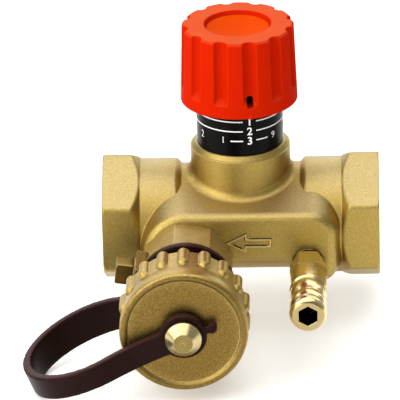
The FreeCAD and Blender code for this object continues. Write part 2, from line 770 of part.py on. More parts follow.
def flute_cutter():
    """Return the cutter of one flute, which leans with the side and ends in a flat ramp."""
    lean = (KNOB_BOTTOM_RADIUS - KNOB_TOP_RADIUS) / KNOB_HEIGHT
    low = Vector(KNOB_BOTTOM_RADIUS - FLUTE_DEPTH + FLUTE_RADIUS, 0, KNOB_BOTTOM)
    groove = Part.makeCylinder(FLUTE_RADIUS, KNOB_HEIGHT + FLUTE_RADIUS, low, Vector(-lean, 0, 1))
    mouth = Vector(KNOB_BOTTOM_RADIUS - lean * FLUTE_END, 0, KNOB_BOTTOM + FLUTE_END)
    rise = Vector(-FLUTE_DEPTH - lean * FLUTE_RAMP, 0, FLUTE_RAMP)
    outside = mouth - rise * 2
    inside = mouth + rise * 2
    floor = KNOB_BOTTOM - KNOB_HEIGHT
    ramp = Part.makePolygon(
        [outside, inside, Vector(inside.x, 0, floor), Vector(outside.x, 0, floor), outside]
    )
    wedge = Part.Face(ramp)
    wedge.translate(Vector(0, -FLUTE_RADIUS, 0))
    return groove.cut(wedge.extrude(Vector(0, 2 * FLUTE_RADIUS, 0)))


def pointer_ridge():
    """Return the small nose on the skirt under the pointer slot."""
    root = KNOB_BOTTOM_RADIUS - POINTER_RIDGE_OUT
    tip = KNOB_BOTTOM_RADIUS + POINTER_RIDGE_OUT
    half = POINTER_RIDGE_WIDTH / 2
    top = KNOB_BOTTOM + POINTER_RIDGE_HEIGHT
    base = [
        Vector(root, -half, KNOB_BOTTOM),
        Vector(tip, 0, KNOB_BOTTOM),
        Vector(root, half, KNOB_BOTTOM),
    ]
    peak = Vector(root, 0, top)
    faces = [Part.Face(Part.makePolygon(base + base[:1]))]
    for index in range(len(base)):
        side = [base[index], base[(index + 1) % len(base)], peak]
        faces.append(Part.Face(Part.makePolygon(side + side[:1])))
    return Part.Solid(Part.Shell(faces))


def knob():
    """Return the fluted knob with its hub, dish and pointer slot."""
    skirt_bore = SLEEVE_RADIUS + KNOB_SKIRT_GAP
    outside = turned(
        (0, KNOB_BOTTOM),
        (KNOB_BOTTOM_RADIUS, KNOB_BOTTOM),
        (KNOB_TOP_RADIUS, KNOB_TOP - KNOB_EDGE),
        (KNOB_TOP_RADIUS - KNOB_EDGE, KNOB_TOP),
        (0, KNOB_TOP),
    )
    ridge = pointer_ridge()
    ridge.rotate(Vector(), Vector(0, 0, 1), POINTER_DEGREES - 90)
    outside = outside.fuse(ridge)
    hollow = turned(
        (KNOB_HUB_RADIUS, SQUARE_BOTTOM),
        (KNOB_HUB_RADIUS, ROOF_UNDER),
        (skirt_bore, ROOF_UNDER),
        (skirt_bore, KNOB_BOTTOM),
        (0, KNOB_BOTTOM),
        (0, SQUARE_BOTTOM),
    )
    top_room = turned(
        (0, SCREW_SEAT),
        (SCREW_HEAD_RADIUS + FREE_GAP, SCREW_SEAT),
        (SCREW_HEAD_RADIUS + FREE_GAP, PLUG_BOTTOM),
        (DISH_FLOOR_RADIUS, PLUG_BOTTOM),
        (DISH_FLOOR_RADIUS, PLUG_TOP),
        (DISH_RADIUS, KNOB_TOP),
        (0, KNOB_TOP),
    )
    drive = prism(4, SPINDLE_SQUARE + 2 * FIXED_FIT, SQUARE_BOTTOM, SCREW_SEAT)
    slot_low = KNOB_BOTTOM + POINTER_SLOT_MIDDLE - POINTER_SLOT_HEIGHT / 2
    slot_half = POINTER_SLOT_WIDTH / 2
    slot = box(
        (0, KNOB_BOTTOM_RADIUS + FLUTE_RADIUS),
        (-slot_half, slot_half),
        (slot_low, slot_low + POINTER_SLOT_HEIGHT),
    )
    corners = [edge for edge in slot.Edges if edge.BoundBox.XLength > KNOB_BOTTOM_RADIUS]
    slot = slot.makeFillet(POINTER_SLOT_CORNER, corners)
    slot.rotate(Vector(), Vector(0, 0, 1), POINTER_DEGREES - 90)
    flutes = ring_of(flute_cutter(), FLUTES, POINTER_DEGREES - 90)
    return outside.cut([hollow, top_room, drive, slot] + flutes)


def knob_plug():
    """Return the disc that covers the knob screw, hollowed a little on top."""
    disc = cylinder(DISH_FLOOR_RADIUS - FIXED_FIT, PLUG_BOTTOM, PLUG_TOP)
    reach = DISH_FLOOR_RADIUS - PLUG_DISC_RIM
    bowl = (reach ** 2 + PLUG_DISC_SAG ** 2) / (2 * PLUG_DISC_SAG)
    return disc.cut(Part.makeSphere(bowl, Vector(0, 0, PLUG_TOP - PLUG_DISC_SAG + bowl)))


def knob_screw():
    """Return the slotted screw that clamps the knob on the spindle."""
    head_top = SCREW_SEAT + SCREW_HEAD_HEIGHT
    screw = turned(
        (0, SCREW_SEAT - SCREW_LENGTH),
        (SCREW_RADIUS, SCREW_SEAT - SCREW_LENGTH),
        (SCREW_RADIUS, SCREW_SEAT),
        (SCREW_HEAD_RADIUS, SCREW_SEAT),
        (SCREW_HEAD_RADIUS, head_top),
        (0, head_top),
    )
    half = SCREW_SLOT_WIDTH / 2
    reach = (-SCREW_HEAD_RADIUS, SCREW_HEAD_RADIUS)
    return screw.cut(box(reach, (-half, half), (head_top - SCREW_SLOT_DEPTH, head_top)))


def drain_body():
    """Return the drain cock's body: port thread, octagon, strap neck and hose thread."""
    port_end = PAD_FACE - DRAIN_PORT_DEPTH + FREE_GAP
    stem_axis_end = OCTAGON_FLATS / 2
    gland_bore = STEM_PACKING_RADIUS + FIXED_FIT
    octagon = chamfered_prism(8, OCTAGON_FLATS, PAD_FACE, OCTAGON_FRONT, OCTAGON_CHAMFER)
    turnings = turned(
        (0, port_end),
        (DRAIN_PORT_RADIUS - FIXED_FIT, port_end),
        (DRAIN_PORT_RADIUS - FIXED_FIT, PAD_FACE),
        (DRAIN_NECK_RADIUS, PAD_FACE),
        (DRAIN_NECK_RADIUS, NECK_FRONT),
        (HOSE_CORE_RADIUS, NECK_FRONT),
        (HOSE_CORE_RADIUS, HOSE_FRONT - HOSE_THREAD_CHAMFER),
        (HOSE_CORE_RADIUS - HOSE_THREAD_CHAMFER, HOSE_FRONT),
        (0, HOSE_FRONT),
    )
    bore = turned(
        (0, port_end),
        (DRAIN_BORE, port_end),
        (DRAIN_BORE, CAVITY_BACK),
        (BALL_CAVITY, CAVITY_BACK),
        (BALL_CAVITY, HOSE_FRONT),
        (0, HOSE_FRONT),
    )
    seal_room = tube(
        DRAIN_SEAL_OUTER + FIXED_FIT,
        DRAIN_SEAL_INNER - FIXED_FIT,
        PAD_FACE,
        PAD_FACE + DRAIN_SEAL_THICKNESS,
    )
    stem_bore = turned(
        (0, 0),
        (STEM_FLANGE_RADIUS + RUNNING_FIT, 0),
        (STEM_FLANGE_RADIUS + RUNNING_FIT, STEM_FLANGE_SEAT),
        (STEM_RADIUS + RUNNING_FIT, STEM_FLANGE_SEAT),
        (STEM_RADIUS + RUNNING_FIT, STEM_FLANGE_SEAT + STEM_SHELF),
        (gland_bore, STEM_FLANGE_SEAT + STEM_SHELF),
        (gland_bore, stem_axis_end),
        (0, stem_axis_end),
    )
    body = octagon.fuse(turnings).removeSplitter()
    return at_drain(body.cut([bore, seal_room, across_stem(stem_bore)]))


def drain_seal():
    """Return the flat ring that seals the drain cock on the pad."""
    ring = tube(
        DRAIN_SEAL_OUTER, DRAIN_SEAL_INNER, PAD_FACE, PAD_FACE + DRAIN_SEAL_THICKNESS - FIXED_FIT
    )
    return at_drain(ring)


def ball_seat(facing):
    """Return one seat ring of the ball, on the inlet side (-1) or the outlet side (+1)."""
    outer = BALL_CAVITY - FIXED_FIT
    back = SEAT_CONE - BALL_SEAT_INNER + BALL_SEAT_BACK
    thin = SEAT_CONE - BALL_SEAT_INNER
    thick = SEAT_CONE - BALL_SEAT_OUTER
    profile = [
        (BALL_SEAT_INNER, back),
        (outer, back),
        (outer, thick),
        (BALL_SEAT_OUTER, thick),
        (BALL_SEAT_INNER, thin),
    ]
    ring = turned(*[(radius, BALL_MIDDLE + facing * height) for radius, height in profile])
    return at_drain(ring)


def ball_retainer():
    """Return the threaded ring that holds the ball and its seats."""
    bottom = BALL_MIDDLE + SEAT_CONE - BALL_SEAT_INNER + BALL_SEAT_BACK
    ring = cylinder(BALL_CAVITY - FIXED_FIT, bottom, bottom + BALL_RETAINER_LENGTH)
    key = prism(6, 2 * BALL_RETAINER_BORE, bottom, bottom + BALL_RETAINER_LENGTH)
    return at_drain(ring.cut(key))


def drain_ball():
    """Return the ball with its bore across the flow and the slot for the stem."""
    ball = Part.makeSphere(BALL_RADIUS)
    bore = Part.makeCylinder(
        BALL_BORE, 2 * BALL_RADIUS, Vector(0, -BALL_RADIUS, 0), Vector(0, 1, 0)
    )
    half = BALL_SLOT_WIDTH / 2
    slot = box(
        (-BALL_RADIUS, BALL_SLOT_DEPTH - BALL_RADIUS), (-half, half), (-BALL_RADIUS, BALL_RADIUS)
    )
    ball = ball.cut([bore, slot])
    ball.translate(Vector(0, 0, BALL_MIDDLE))
    return at_drain(ball)


def drain_stem():
    """Return the stem, from its tang in the ball to the square for the key."""
    flange_top = STEM_FLANGE_SEAT - RUNNING_FIT
    flange_bottom = flange_top - STEM_FLANGE_THICKNESS
    square_bottom = OCTAGON_FLATS / 2 + GLAND_HEIGHT + FREE_GAP
    square_top = square_bottom + STEM_SQUARE_LENGTH
    shaft = turned(
        (0, flange_bottom),
        (STEM_FLANGE_RADIUS, flange_bottom),
        (STEM_FLANGE_RADIUS, flange_top),
        (STEM_RADIUS, flange_top),
        (STEM_RADIUS, square_bottom),
        (0, square_bottom),
    )
    square = chamfered_prism(4, STEM_SQUARE, square_bottom, square_top, STEM_SQUARE_CHAMFER)
    tang_half = BALL_SLOT_WIDTH / 2 - RUNNING_FIT
    tang_bottom = BALL_RADIUS - BALL_SLOT_DEPTH + FREE_GAP
    tang_sweep = SEAT_CONE - BALL_SEAT_OUTER - FREE_GAP
    tang_reach = sqrt(tang_sweep**2 - tang_half**2)
    tang = box(
        (-tang_reach, tang_reach), (-tang_half, tang_half), (tang_bottom, flange_bottom)
    )
    return at_drain(across_stem(shaft.fuse([square, tang])))


def stem_packing():
    """Return the packing ring round the stem."""
    bottom = STEM_FLANGE_SEAT + STEM_SHELF
    ring = tube(
        STEM_PACKING_RADIUS, STEM_RADIUS + RUNNING_FIT, bottom, bottom + STEM_PACKING_THICKNESS
    )
    return at_drain(across_stem(ring))


def stem_gland():
    """Return the gland nut that presses on the packing."""
    shank_bottom = STEM_FLANGE_SEAT + STEM_SHELF + STEM_PACKING_THICKNESS
    seat = OCTAGON_FLATS / 2
    nut = chamfered_prism(6, GLAND_FLATS, seat, seat + GLAND_HEIGHT, FREE_GAP)
    shank = cylinder(STEM_PACKING_RADIUS, shank_bottom, seat)
    hole = cylinder(STEM_RADIUS + RUNNING_FIT, shank_bottom, seat + GLAND_HEIGHT)
    return at_drain(across_stem(nut.fuse(shank).cut(hole)))


def cap_rib():
    """Return one rib of the knurl with its run-out towards the face."""
    axis = CAP_RADIUS + CAP_RIB_RISE - CAP_RIB_RADIUS
    straight = CAP_RIB_LENGTH - CAP_RIB_RUN_OUT
    rib = Part.makeCylinder(CAP_RIB_RADIUS, straight, Vector(axis, 0, CAP_BACK))
    run_out = Part.makeCone(
        CAP_RIB_RADIUS, 0, CAP_RIB_RUN_OUT, Vector(axis, 0, CAP_BACK + straight)
    )
    return rib.fuse(run_out)


def drain_cap():
    """Return the knurled cap with its face set into a rounded ring."""
    shoulder = CAP_FACE - CAP_SHOULDER
    rounding = (CAP_RING_RADIUS - CAP_RING_ROUND, CAP_RING_FRONT - CAP_RING_ROUND)
    blank = turned(
        (HOSE_ROOT_RADIUS, CAP_BACK),
        (CAP_RADIUS, CAP_BACK),
        (CAP_RADIUS, CAP_BACK + CAP_RIB_LENGTH),
        (CAP_RING_RADIUS, shoulder),
        *arc_points(rounding, CAP_RING_ROUND, 0, CAP_RING_DEGREES, CAP_RING_STEPS),
        (CAP_RING_RADIUS - CAP_RING_WIDTH, CAP_FACE),
        (BUTTON_SHANK + FIXED_FIT, CAP_FACE),
        (BUTTON_SHANK + FIXED_FIT, GASKET_FRONT),
        (HOSE_ROOT_RADIUS, GASKET_FRONT),
    )
    ribs = ring_of(cap_rib(), CAP_RIBS, 90)
    room = cylinder(HOSE_ROOT_RADIUS, CAP_BACK, GASKET_FRONT)
    return at_port(blank.fuse([rib.cut(room) for rib in ribs]).removeSplitter(), DRAIN_X)


def cap_gasket():
    """Return the gasket between the cap and the end of the hose thread."""
    bottom = HOSE_FRONT + FIXED_FIT
    outer = HOSE_ROOT_RADIUS - FREE_GAP
    return at_port(tube(outer, GASKET_BORE, bottom, GASKET_FRONT), DRAIN_X)


def cap_button():
    """Return the riveted button that carries the strap's eye."""
    tip = BUTTON_HEAD + BUTTON_RIM + BUTTON_CONE
    dimple = tip - BUTTON_DIMPLE_DEPTH
    button = turned(
        (0, GASKET_FRONT),
        (BUTTON_SHANK, GASKET_FRONT),
        (BUTTON_SHANK, CAP_FACE),
        (BUTTON_NECK_RADIUS, CAP_FACE),
        (BUTTON_NECK_RADIUS, BUTTON_HEAD),
        (BUTTON_RADIUS, BUTTON_HEAD),
        (BUTTON_RADIUS, BUTTON_HEAD + BUTTON_RIM),
        (BUTTON_TIP_RADIUS, tip),
        (BUTTON_DIMPLE_RADIUS, tip),
        (0, dimple),
    )
    return at_port(button, DRAIN_X)


def strap_loop(offset, ring_edge):
    """Return the three arcs of the bent band, each by its start, middle and end.

    The offset is measured out of the loop from the middle of the band's thickness.
    """
    half = STRAP_THICKNESS / 2
    middle = (STRAP_BACK + STRAP_FRONT + STRAP_THICKNESS) / 2
    gap = STRAP_FRONT + half - middle
    turn = STRAP_REACH - half - STRAP_LOOP_RADIUS
    arcs = []
    for start, side in ((ring_edge, -1), (STRAP_EYE_RADIUS, 1)):
        bend = 2 * atan((STRAP_LOOP_RADIUS - gap) / (turn - start))
        radius = (turn - start) / sin(bend) - STRAP_LOOP_RADIUS
        centre = Vector(start, 0, middle + side * (gap + radius))
        reach = radius - offset
        arcs.append(
            [
                centre + Vector(reach * sin(angle), 0, -side * reach * cos(angle))
                for angle in (0, bend / 2, bend)
            ]
        )
    back, front = arcs
    widest = Vector(turn + STRAP_LOOP_RADIUS + offset, 0, middle)
    return [back, [back[-1], widest, front[-1]], front[::-1]]


def retaining_strap():
    """Return the strap: a ring on the drain neck, a band bent back and an eye on the button."""
    ring_inner = DRAIN_NECK_RADIUS + FREE_GAP
    ring = tube(
        ring_inner + STRAP_RING_WIDTH, ring_inner, STRAP_BACK, STRAP_BACK + STRAP_THICKNESS
    )
    eye_inner = BUTTON_NECK_RADIUS + FREE_GAP
    eye_top = STRAP_FRONT + STRAP_THICKNESS
    back_start = ring_inner + STRAP_RING_WIDTH / 2
    front_start = (eye_inner + STRAP_EYE_RADIUS) / 2
    half = STRAP_THICKNESS / 2
    outside = strap_loop(half, ring_inner + STRAP_RING_WIDTH)
    inside = strap_loop(-half, ring_inner + STRAP_RING_WIDTH)
    lines = [
        (inside[0][0], Vector(back_start, 0, STRAP_BACK + STRAP_THICKNESS)),
        (Vector(back_start, 0, STRAP_BACK + STRAP_THICKNESS), Vector(back_start, 0, STRAP_BACK)),
        (Vector(back_start, 0, STRAP_BACK), outside[0][0]),
        (outside[-1][-1], Vector(front_start, 0, eye_top)),
        (Vector(front_start, 0, eye_top), Vector(front_start, 0, STRAP_FRONT)),
        (Vector(front_start, 0, STRAP_FRONT), inside[-1][-1]),
    ]
    route = [Part.LineSegment(*ends).toShape() for ends in lines]
    route += [Part.Arc(*points).toShape() for points in outside + inside]
    section = Part.Face(Part.Wire(Part.__sortEdges__(route)))
    section.translate(Vector(0, -STRAP_BACK_WIDTH / 2, 0))
    band = section.extrude(Vector(0, STRAP_BACK_WIDTH, 0))
    half_back = STRAP_BACK_WIDTH / 2
    half_front = STRAP_FRONT_WIDTH / 2
    loop_back = section.BoundBox.ZMin
    loop_front = section.BoundBox.ZMax
    taper = Part.makePolygon(
        [
            Vector(0, -half_back, loop_back),
            Vector(0, half_back, loop_back),
            Vector(0, half_front, loop_front),
            Vector(0, -half_front, loop_front),
            Vector(0, -half_back, loop_back),
        ]
    )
    band = band.common(Part.Face(taper).extrude(Vector(STRAP_REACH, 0, 0)))
    eye = cylinder(STRAP_EYE_RADIUS, STRAP_FRONT, eye_top)
    tab_half = STRAP_TAB_WIDTH / 2
    tab = box((-STRAP_TAB_REACH, 0), (-tab_half, tab_half), (STRAP_FRONT, eye_top))
    tab_end = cylinder(STRAP_TAB_RADIUS, STRAP_FRONT, eye_top)
    tab_end.translate(Vector(-STRAP_TAB_REACH, 0, 0))
    tail = tab.fuse(tab_end)
    tail.rotate(Vector(), Vector(0, 0, 1), STRAP_TAB_DEGREES)
    hole = cylinder(eye_inner, STRAP_FRONT, eye_top)
    front = eye.fuse(tail).cut(hole)
    strap = ring.fuse([band, front]).removeSplitter()
    return at_port(strap, DRAIN_X, 180 - STRAP_DROOP_DEGREES)


def nipple_bulge(back, front):
    """Return the outline of one rounded bulge of the nipple, from crease to crease."""
    half = (front - back) / 2
    radius = (half ** 2 + NIPPLE_CREASE_DEPTH ** 2) / (2 * NIPPLE_CREASE_DEPTH)
    reach = degrees(asin(half / radius))
    centre = (NIPPLE_RADIUS - radius, (back + front) / 2)
    return arc_points(centre, radius, -reach, reach, NIPPLE_ROUND_STEPS)


def test_nipple():
    """Return the test nipple: needle tip, thread, hexagon, waisted end and key socket."""
    thread_end = PAD_FACE - NIPPLE_THREAD_DEPTH + RUNNING_FIT
    tip_end = thread_end - NIPPLE_THREAD_RADIUS + NIPPLE_TIP_RADIUS
    hex_back = NIPPLE_BACK + NIPPLE_NECK_LENGTH
    hex_front = NIPPLE_BACK + NIPPLE_HEX_LENGTH
    oring_low = NIPPLE_ORING_MIDDLE - NIPPLE_ORING_SECTION - FIXED_FIT
    oring_high = NIPPLE_ORING_MIDDLE + NIPPLE_ORING_SECTION + FIXED_FIT
    oring_floor = NIPPLE_THREAD_RADIUS - 2 * NIPPLE_ORING_SECTION
    profile = [
        (0, tip_end),
        (NIPPLE_TIP_RADIUS, tip_end),
        (NIPPLE_THREAD_RADIUS, thread_end),
        (NIPPLE_THREAD_RADIUS, oring_low),
        (oring_floor, oring_low),
        (oring_floor, oring_high),
        (NIPPLE_THREAD_RADIUS, oring_high),
        (NIPPLE_THREAD_RADIUS, PAD_FACE),
        (NIPPLE_NECK_RADIUS, PAD_FACE),
        (NIPPLE_NECK_RADIUS, hex_front),
        (NIPPLE_RADIUS, hex_front),
        (NIPPLE_RADIUS, NIPPLE_FRONT - NIPPLE_CREASES[0] - NIPPLE_CREASE_DEPTH),
    ]
    for back, front in zip(NIPPLE_CREASES, NIPPLE_CREASES[1:]):
        profile += nipple_bulge(NIPPLE_FRONT - back, NIPPLE_FRONT - front)
    nose = (NIPPLE_RADIUS - NIPPLE_NOSE_ROUND, NIPPLE_FRONT - NIPPLE_NOSE_ROUND)
    profile += arc_points(nose, NIPPLE_NOSE_ROUND, 0, 90, NIPPLE_ROUND_STEPS)
    profile.append((0, NIPPLE_FRONT))
    hexagon = chamfered_prism(
        6, NIPPLE_HEX_FLATS, hex_back, hex_front, NIPPLE_HEX_CHAMFER
    )
    bore = cylinder(NIPPLE_BORE, thread_end, NIPPLE_FRONT)
    socket = prism(6, NIPPLE_SOCKET_FLATS, NIPPLE_FRONT - NIPPLE_SOCKET_DEPTH, NIPPLE_FRONT)
    socket.rotate(Vector(), Vector(0, 0, 1), 30)
    cross = Part.makeCylinder(
        NIPPLE_CROSS_BORE,
        2 * NIPPLE_THREAD_RADIUS,
        Vector(-NIPPLE_THREAD_RADIUS, 0, thread_end + 2 * NIPPLE_CROSS_BORE),
        Vector(1, 0, 0),
    )
    body = turned(*profile).fuse(hexagon).removeSplitter()
    return at_port(body.cut([bore, socket, cross]), NIPPLE_X, 90)


def nipple_oring():
    """Return the O-ring in the nipple's groove."""
    middle = NIPPLE_THREAD_RADIUS - NIPPLE_ORING_SECTION
    ring = oring(middle, NIPPLE_ORING_SECTION - FIXED_FIT, NIPPLE_ORING_MIDDLE)
    return at_port(ring, NIPPLE_X)


def pieces():
    """Return every piece of the valve by its name."""
    return {
        "valve_body": valve_body(),
        "bonnet_insert": bonnet_insert(),
        "bonnet_seal": bonnet_seal(),
        "spindle_oring": spindle_oring(),
        "scale_sleeve": scale_sleeve(),
        "sleeve_clip": sleeve_clip(),
        "cone_holder": cone_holder(),
        "cone_seal": cone_seal(),
        "cone_plug": cone_plug(),
        "spindle": spindle(),
        "knob": knob(),
        "knob_plug": knob_plug(),
        "knob_screw": knob_screw(),
        "drain_body": drain_body(),
        "drain_seal": drain_seal(),
        "ball_seat_rear": ball_seat(-1),
        "ball_seat_front": ball_seat(1),
        "ball_retainer": ball_retainer(),
        "drain_ball": drain_ball(),
        "drain_stem": drain_stem(),
        "stem_packing": stem_packing(),
        "stem_gland": stem_gland(),
        "drain_cap": drain_cap(),
        "cap_gasket": cap_gasket(),
        "cap_button": cap_button(),
        "retaining_strap": retaining_strap(),
        "test_nipple": test_nipple(),
        "nipple_oring": nipple_oring(),
    }


def save(name, shape):
    """Move a piece to the origin at the inlet mouth and write it."""
    shape.translate(Vector(-END, 0, 0))
    print(name, "solids", len(shape.Solids), "volume", round(shape.Volume, 1), "valid", shape.isValid())
    shape.exportStep(f"parts/{name}.step")


os.makedirs("parts", exist_ok=True)
for piece_name, piece_shape in pieces().items():
    save(piece_name, piece_shape)
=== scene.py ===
"""Looks of a brass balancing valve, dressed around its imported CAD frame.

The pipe axis is X, the knob axis is Z, and the drain cock and the test nipple face -Y.
The classes hold sizes in millimetres from the crossing of the pipe and knob axes, and the
meshes are in metres from the frame's origin in the inlet mouth.
"""

import logging
from collections.abc import Sequence
from dataclasses import dataclass, field, replace
from enum import Enum
from math import cos, degrees, pi, radians, sin

import bmesh
import bpy
from mathutils import Matrix, Vector


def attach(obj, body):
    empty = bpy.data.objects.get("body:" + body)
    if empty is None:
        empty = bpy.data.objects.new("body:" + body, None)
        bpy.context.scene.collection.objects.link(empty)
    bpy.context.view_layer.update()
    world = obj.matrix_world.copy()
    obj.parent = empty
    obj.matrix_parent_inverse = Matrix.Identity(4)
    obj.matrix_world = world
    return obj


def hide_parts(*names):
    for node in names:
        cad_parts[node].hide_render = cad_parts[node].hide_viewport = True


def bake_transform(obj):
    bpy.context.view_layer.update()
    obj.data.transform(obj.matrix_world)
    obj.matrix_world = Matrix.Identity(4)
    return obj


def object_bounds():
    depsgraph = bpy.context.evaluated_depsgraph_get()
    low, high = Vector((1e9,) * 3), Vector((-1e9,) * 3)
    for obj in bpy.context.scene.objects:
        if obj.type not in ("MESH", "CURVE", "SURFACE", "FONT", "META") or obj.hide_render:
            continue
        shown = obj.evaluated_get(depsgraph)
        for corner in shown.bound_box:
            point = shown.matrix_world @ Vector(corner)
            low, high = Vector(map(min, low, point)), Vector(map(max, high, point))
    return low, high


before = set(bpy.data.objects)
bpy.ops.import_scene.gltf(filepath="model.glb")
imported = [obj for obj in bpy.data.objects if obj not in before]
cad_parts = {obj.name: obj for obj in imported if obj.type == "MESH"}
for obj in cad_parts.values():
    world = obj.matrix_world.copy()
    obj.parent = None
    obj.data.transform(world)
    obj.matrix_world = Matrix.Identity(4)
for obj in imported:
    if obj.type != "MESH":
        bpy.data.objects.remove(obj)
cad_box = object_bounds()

LOG = logging.getLogger("balancing_valve")
MM = 0.001
FULL_TURN = 360.0
# From the crossing of the pipe and knob axes to each pipe mouth
HALF_LENGTH = 37.5
# The drain cock's and the test nipple's places along the pipe, and the level of both
DRAIN_X = -14.4
NIPPLE_X = 18.2
PORT_LEVEL = -5.2
# The drain stem's place along the drain cock, and its rise towards its end
STEM_Y = -28.51
STEM_TILT = radians(8.0)
# How deep raised ridges, lines and print sit in the wall that carries them
SUNK = 0.08
# Inputs at which each mask of a finish starts and is full
MOTTLE_RANGE = {"From Min": 0.38, "From Max": 0.14}
PAINTED_SIDE_RANGE = {"From Min": 0.6, "From Max": 0.9}
OPEN_RANGE = {"From Min": 0.76, "From Max": 0.92}
WEAR_AND_HIGHLIGHT_RANGE = {"From Min": 0.99, "From Max": 0.85}
GLOSS_RANGE = {"From Min": 0.3, "From Max": 0.7}
HOLLOW_SHADE_SPAN = 0.4
# Fineness of the noise that draws grain, mottle and lathe rings
GRAIN_NOISE = {"Detail": 2.0, "Roughness": 0.6}
MOTTLE_NOISE = {"Detail": 4.0, "Roughness": 0.65}
RING_NOISE = {"Detail": 3.0}
# Rays that feel for edges and for shelter
PROBE_RAYS = 6


class Body(Enum):
    """The moving bodies that pieces ride on."""

    VALVE = "valve"
    CAP_TRAVEL = "cap_travel"
    CAP = "cap"


class Axis(Enum):
    """Lathe axes: a point on the axis in mm, and its direction."""

    PIPE = ((0.0, 0.0, 0.0), (1.0, 0.0, 0.0))
    KNOB = ((0.0, 0.0, 0.0), (0.0, 0.0, 1.0))
    DRAIN = ((DRAIN_X, 0.0, PORT_LEVEL), (0.0, 1.0, 0.0))
    NIPPLE = ((NIPPLE_X, 0.0, PORT_LEVEL), (0.0, 1.0, 0.0))
    STEM = ((DRAIN_X, STEM_Y, PORT_LEVEL), (-cos(STEM_TILT), 0.0, sin(STEM_TILT)))


class Slot(Enum):
    """The record's material slots that the new pieces take."""

    FORGED_BRASS = "forged_brass"
    TURNED_BRASS = "turned_brass"
    CAP_BRASS = "cap_brass"
    SCALE_PLASTIC = "scale_plastic"
    STRAP_RUBBER = "strap_rubber"


def in_frame(x: float, y: float, z: float) -> Vector:
    """Move a point from the valve's crossing to the frame.

    Args:
        x: Along the pipe, in mm.
        y: Towards the back, in mm.
        z: Up, in mm.

    Returns:
        The point in metres from the frame's origin.
    """
    return Vector((x - HALF_LENGTH, y, z)) * MM


def linear(hex_colour: str) -> tuple[float, float, float, float]:
    """Turn an sRGB hex colour to a linear one.

    Args:
        hex_colour: Six hex digits after a hash sign.

    Returns:
        Linear red, green and blue, and an alpha of one.
    """
    parts = [int(hex_colour[i:i + 2], 16) / 255 for i in (1, 3, 5)]
    red, green, blue = (
        c / 12.92 if c <= 0.04045 else ((c + 0.055) / 1.055) ** 2.4 for c in parts
    )
    return red, green, blue, 1.0


def add_node(
    tree: bpy.types.NodeTree,
    kind: str,
    inputs: dict[int | str, object] | None = None,
    **settings: object,
) -> bpy.types.Node:
    """Add one node with its settings and links.

    Args:
        tree: The node tree that takes the node.
        kind: The node's type name.
        inputs: Input names or numbers, each with a value or the socket that feeds it.
        **settings: The node's own options.

    Returns:
        The new node.
    """
    node = tree.nodes.new(kind)
    for name, value in settings.items():
        setattr(node, name, value)
    for name, value in (inputs or {}).items():
        if isinstance(value, bpy.types.NodeSocket):
            tree.links.new(value, node.inputs[name])
        else:
            node.inputs[name].default_value = value
    return node


def sweep(rings: int, sides: int, closed: bool = False) -> list[tuple[int, ...]]:
    """Join the rings of points that a section leaves along its path.

    Args:
        rings: How many rings there are.
        sides: How many points each ring has.
        closed: Whether the last ring meets the first. If not, both ends are capped.

    Returns:
        The faces, as numbers of points.
    """
    faces = []
    for ring in range(rings if closed else rings - 1):
        near = ring * sides
        far = (ring + 1) % rings * sides
        for side in range(sides):
            after = (side + 1) % sides
            faces.append((near + side, far + side, far + after, near + after))
    if not closed:
        last = (rings - 1) * sides
        faces.append(tuple(range(sides)))
        faces.append(tuple(last + side for side in reversed(range(sides))))
    return faces


def new_piece(
    name: str,
    points: Sequence[Vector],
    faces: Sequence[Sequence[int]],
    material: bpy.types.Material,
) -> bpy.types.Object:
    """Make a mesh object from its points and faces.

    Args:
        name: The piece's name.
        points: Corners in metres, in the frame.
        faces: Corner numbers of each face.
        material: The finish of the whole piece.

    Returns:
        The new object, linked to the scene.
    """
    mesh = bpy.data.meshes.new(name)
    mesh.from_pydata([tuple(p) for p in points], [], faces)
    mesh.validate()
    mesh.materials.append(material)
    piece = bpy.data.objects.new(name, mesh)
    bpy.context.scene.collection.objects.link(piece)
    return piece


def settle(piece: bpy.types.Object, body: Body) -> None:
    """Let a piece ride on a body and report it.

    Args:
        piece: The finished piece.
        body: The body that carries it.
    """
    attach(piece, body.value)
    LOG.info("%s rides on %s", piece.name, body.value)


